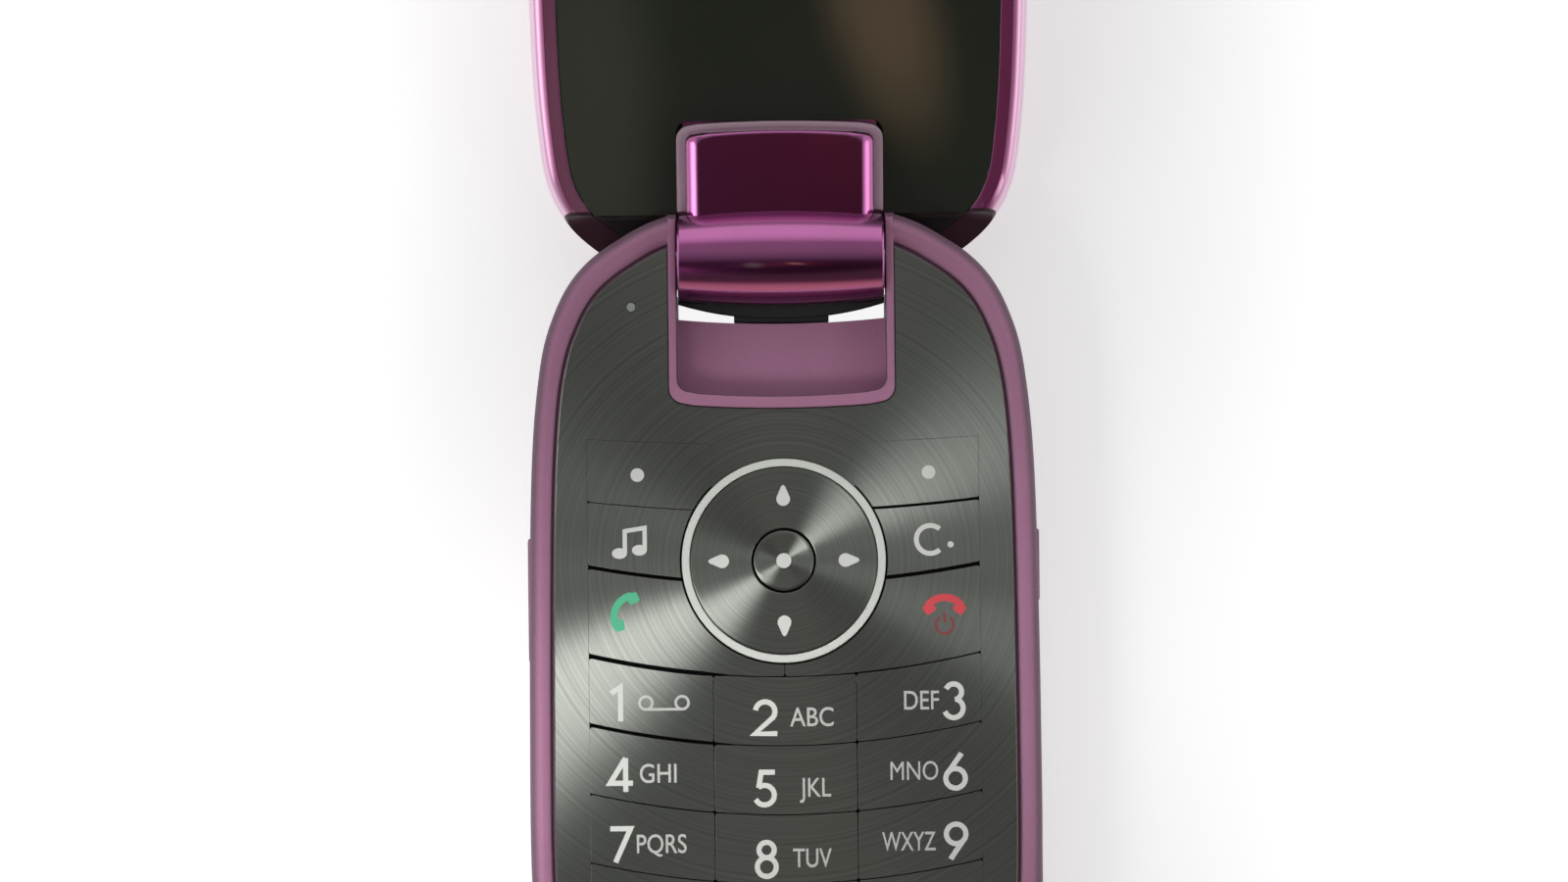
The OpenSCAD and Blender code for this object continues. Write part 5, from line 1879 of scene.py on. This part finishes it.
@dataclass(frozen=True)
class Lamp:
    """Soft box that faces a point, in millimetres, watts and degrees of spread."""

    name: str
    place: Sizes
    size: Sizes
    power: float
    aim: Sizes
    spread: float = 40.0

    def hang(self) -> None:
        """Hangs the lamp."""
        data = bpy.data.lights.new(self.name, "AREA")
        data.shape = "RECTANGLE"
        data.size, data.size_y = self.size[0] * MM, self.size[1] * MM
        data.energy, data.spread = self.power, math.radians(self.spread)
        box = bpy.data.objects.new(self.name, data)
        bpy.context.scene.collection.objects.link(box)
        box.location = Vector(self.place) * MM
        way = Vector(self.aim) - Vector(self.place)
        box.rotation_euler = way.to_track_quat("-Z", "Y").to_euler()
        box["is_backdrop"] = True


@dataclass(frozen=True)
class Card:
    """Dim board that glows softly towards its middle, for the glass to mirror."""

    name: str
    place: Sizes
    size: Sizes
    colour: str
    strength: float
    turn: float = 0.0
    fade: Sizes = (1.0, 0.2)

    def hang(self) -> None:
        """Hangs the board, turned about the vertical."""
        Bench.clear()
        bpy.ops.mesh.primitive_plane_add(size=2.0)
        board = bpy.context.active_object
        board.name = board.data.name = self.name
        width, height = self.size[0] * MM, self.size[1] * MM
        board.data.transform(Matrix.Diagonal((width / 2, height / 2, 1.0, 1.0)))
        board.matrix_world = Matrix.Translation(Vector(self.place) * MM) @ Matrix.Rotation(
            math.radians(self.turn), 4, "Z")
        made = blank(self.name)
        tree = made.node_tree
        spot = add_node(tree, "TexCoord").outputs["Object"]
        even = vector(tree, "MULTIPLY", spot, (2 / width, 2 / height, 1.0))
        share = ramp(tree, vector(tree, "LENGTH", even), self.fade, (0, self.strength), smooth=True)
        glow = add_node(tree, "Emission", {"Color": linear(self.colour), "Strength": share})
        clear = add_node(tree, "BsdfTransparent")
        both = add_node(tree, "AddShader", {0: glow.outputs[0], 1: clear.outputs[0]})
        add_node(tree, "OutputMaterial", {"Surface": both.outputs[0]})
        board.data.materials.append(made)
        board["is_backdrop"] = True


@dataclass(frozen=True)
class Studio:
    """White table, soft lamps and the camera straight above."""

    look_at: Sizes = (0.14, 24.24)
    width: float = 151.2
    distance: float = 500.0
    sensor: float = 36.0
    face_z: float = 10.5
    roll: float = 0.6
    zones: tuple[Zone, ...] = (
        Zone((0, 0, 1), -1.0, -0.9, 0.1, "#fbf0e2"),
        Zone((0, 1, 0), -0.5, 0.4, 0.4),
        Zone((0, 1, 0), 0.4, 0.84, 1.13),
        Zone((-1, 0, 0), 0.45, 0.75, 0.8),
        Zone((1, 0, 0), 0.5, 0.8, 0.9),
        Zone((0, -1, 0), 0.84, 0.99, 0.85, "#ffe2c7"),
        Zone((0, 0, -1), -0.14, 0.02, 0.9),
        Zone((0, -0.407, 0.914), 0.92, 0.985, 0.08, "#fbf0e2", darker=True),
    )
    furniture: tuple[Lamp | Card, ...] = (
        Lamp("key_box", (-56.6, -25.5, 80), (31, 50), 0.0056, (-9, -3, 10), 46),
        Lamp("left_strip", (-120, 36, 60), (76, 70), 0.0028, (0, 66, 2)),
        Lamp("right_strip", (120, 36, 50), (76, 54), 0.0011, (0, 66, 8)),
        Card("warm_card", (20, -104, 500), (30, 80), "#ffcf9e", 1.3, 16.0),
        Card("cool_card", (-38, -130, 500), (40, 190), "#e4ebd0", 0.45),
        Lamp("fill_box", (110, -30, 70), (40, 40), 0.0014, (24, 4, 10)),
    )
    floor_shade: str = "#cdcdcd"
    # The table's glow near the phone and far from it; the dimmer near value is painted shadow.
    floor_glow: Sizes = (0.5, 0.88)
    # The table's painted shadow pool round the phone: its middle, its stretch along, and where it
    # starts and ends to fade.
    painted_shadow_pool: Sizes = (8.0, 36.0, 3.2, 15.0, 75.0)
    # The painted light patch in it, under the slits: its middle, inner and outer radius, and glow.
    painted_light_under_slits: Sizes = (35.0, 13.0, 19.0, 0.9)

    def camera(self) -> None:
        """Sets the camera straight above, so that the width fills the view."""
        data = bpy.data.cameras.new("camera")
        data.sensor_width = self.sensor
        data.lens = self.sensor * self.distance / self.width
        data.clip_start, data.clip_end = 0.01, 10.0
        eye = bpy.data.objects.new("camera", data)
        bpy.context.scene.collection.objects.link(eye)
        eye.location = Vector((*self.look_at, self.face_z + self.distance)) * MM
        eye.rotation_euler = (0, 0, -math.radians(self.roll))
        bpy.context.scene.camera = eye

    def floor(self) -> None:
        """Lays the table, white to the eye and to gloss, and keeps the shadow, with a painted shadow
        pool round the phone and painted light under the slits.
        """
        Bench.clear()
        bpy.ops.mesh.primitive_plane_add(size=6.0, location=(0, 0, -0.0002))
        table = bpy.context.active_object
        table.name = "table"
        made = blank("white_table")
        tree = made.node_tree
        matt = add_node(tree, "BsdfDiffuse", {"Color": linear("#f4f4f4")})
        shadow = add_node(tree, "BsdfDiffuse", {"Color": linear(self.floor_shade)})
        # The glow is dimmed near the phone: a painted shadow pool.
        middle, along, stretch, near, far = self.painted_shadow_pool
        spot = add_node(tree, "TexCoord").outputs["Object"]
        off = vector(tree, "SUBTRACT", spot, (middle * MM, along * MM, 0.0))
        away = vector(tree, "LENGTH", vector(tree, "MULTIPLY", off, (1.0, 1 / stretch, 1.0)))
        glow = ramp(tree, away, (near * MM, far * MM), self.floor_glow, smooth=True)
        # Painted light: the glow is raised under the slits, where the table lies in the phone's
        # shadow.
        y, inner, outer, lit = self.painted_light_under_slits
        gap = vector(tree, "DISTANCE", spot, (0.0, y * MM, 0.0))
        painted_light_patch = ramp(tree, gap, (outer * MM, inner * MM), (0, lit), smooth=True)
        glow = sums(tree, "MAXIMUM", glow, painted_light_patch)
        bright = add_node(tree, "Emission", {"Color": linear("#ffffff"), "Strength": glow})
        shown = add_node(tree, "AddShader", {0: shadow.outputs[0], 1: bright.outputs[0]})
        rays = add_node(tree, "LightPath").outputs
        seen = sums(tree, "MAXIMUM", rays["Is Camera Ray"], rays["Is Glossy Ray"])
        seen = sums(tree, "MAXIMUM", seen, rays["Is Transmission Ray"])
        mix = add_node(tree, "MixShader", {0: seen, 1: matt.outputs[0], 2: shown.outputs[0]})
        add_node(tree, "OutputMaterial", {"Surface": mix.outputs[0]})
        table.data.materials.append(made)
        table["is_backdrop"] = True

    def sky(self) -> None:
        """Lights the room from its walls, with a dark ceiling over the camera."""
        world = bpy.data.worlds.new("room")
        bpy.context.scene.world = world
        world.use_nodes = True
        tree = world.node_tree
        tree.nodes.clear()
        way = add_node(tree, "TexCoord").outputs["Generated"]
        total = None
        for zone in self.zones:
            facing = vector(tree, "DOT_PRODUCT", way, zone.towards)
            share = ramp(tree, facing, (zone.start, zone.full), (0, zone.strength), smooth=True)
            feeds = {0: linear(zone.colour)[:3], "Scale": share}
            glow = add_node(tree, "VectorMath", feeds, operation="SCALE").outputs[0]
            how = "SUBTRACT" if zone.darker else "MAXIMUM"
            total = glow if total is None else vector(tree, how, total, glow)
        room = add_node(tree, "Background", {"Color": total, "Strength": 1.0})
        add_node(tree, "OutputWorld", {"Surface": room.outputs[0]})

    def build(self) -> None:
        """Sets up the studio."""
        self.camera()
        self.floor()
        self.sky()
        for item in self.furniture:
            item.hang()
        bpy.context.scene.view_settings.view_transform = "Standard"


# ---------------------------------------------------------------- the phone


def main() -> None:
    """Builds the phone's sub-assemblies in order, then the studio."""
    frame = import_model()
    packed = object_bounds()
    joint = next(j for j in frame["joints"] if j["name"] == "lid_hinge")
    hinge = Hinge(joint["pos_m"][1] / MM, joint["pos_m"][2] / MM, joint["range_deg"][1])
    outline = Outline(hinge.y)
    lid_outline = Outline(hinge.y, half=LID_HALF)
    casing = KeypadCasing(outline, hinge)
    face = KeypadFace(outline, hinge, casing)
    steps = {
        "keypad casing": casing.build,
        "keypad face": face.build,
        "printing": Legends(face).build,
        "side pieces": SidePieces(casing).build,
        "hinge barrel": HingeBarrel(hinge).build,
        "display half": DisplayHalf(lid_outline, hinge).build,
        "inside": Internals(frame["nodes"]).build,
        "studio": Studio().build,
    }
    for name, step in steps.items():
        LOG.info("building the %s", name)
        step()
    Bench.clear()
    boxes = {"packed": packed, "dressed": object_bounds()}
    sizes = {name: [list(corner) for corner in box] for name, box in boxes.items()}


if __name__ == "__main__":
    logging.basicConfig(level=logging.INFO, format="%(name)s: %(message)s")
    main()
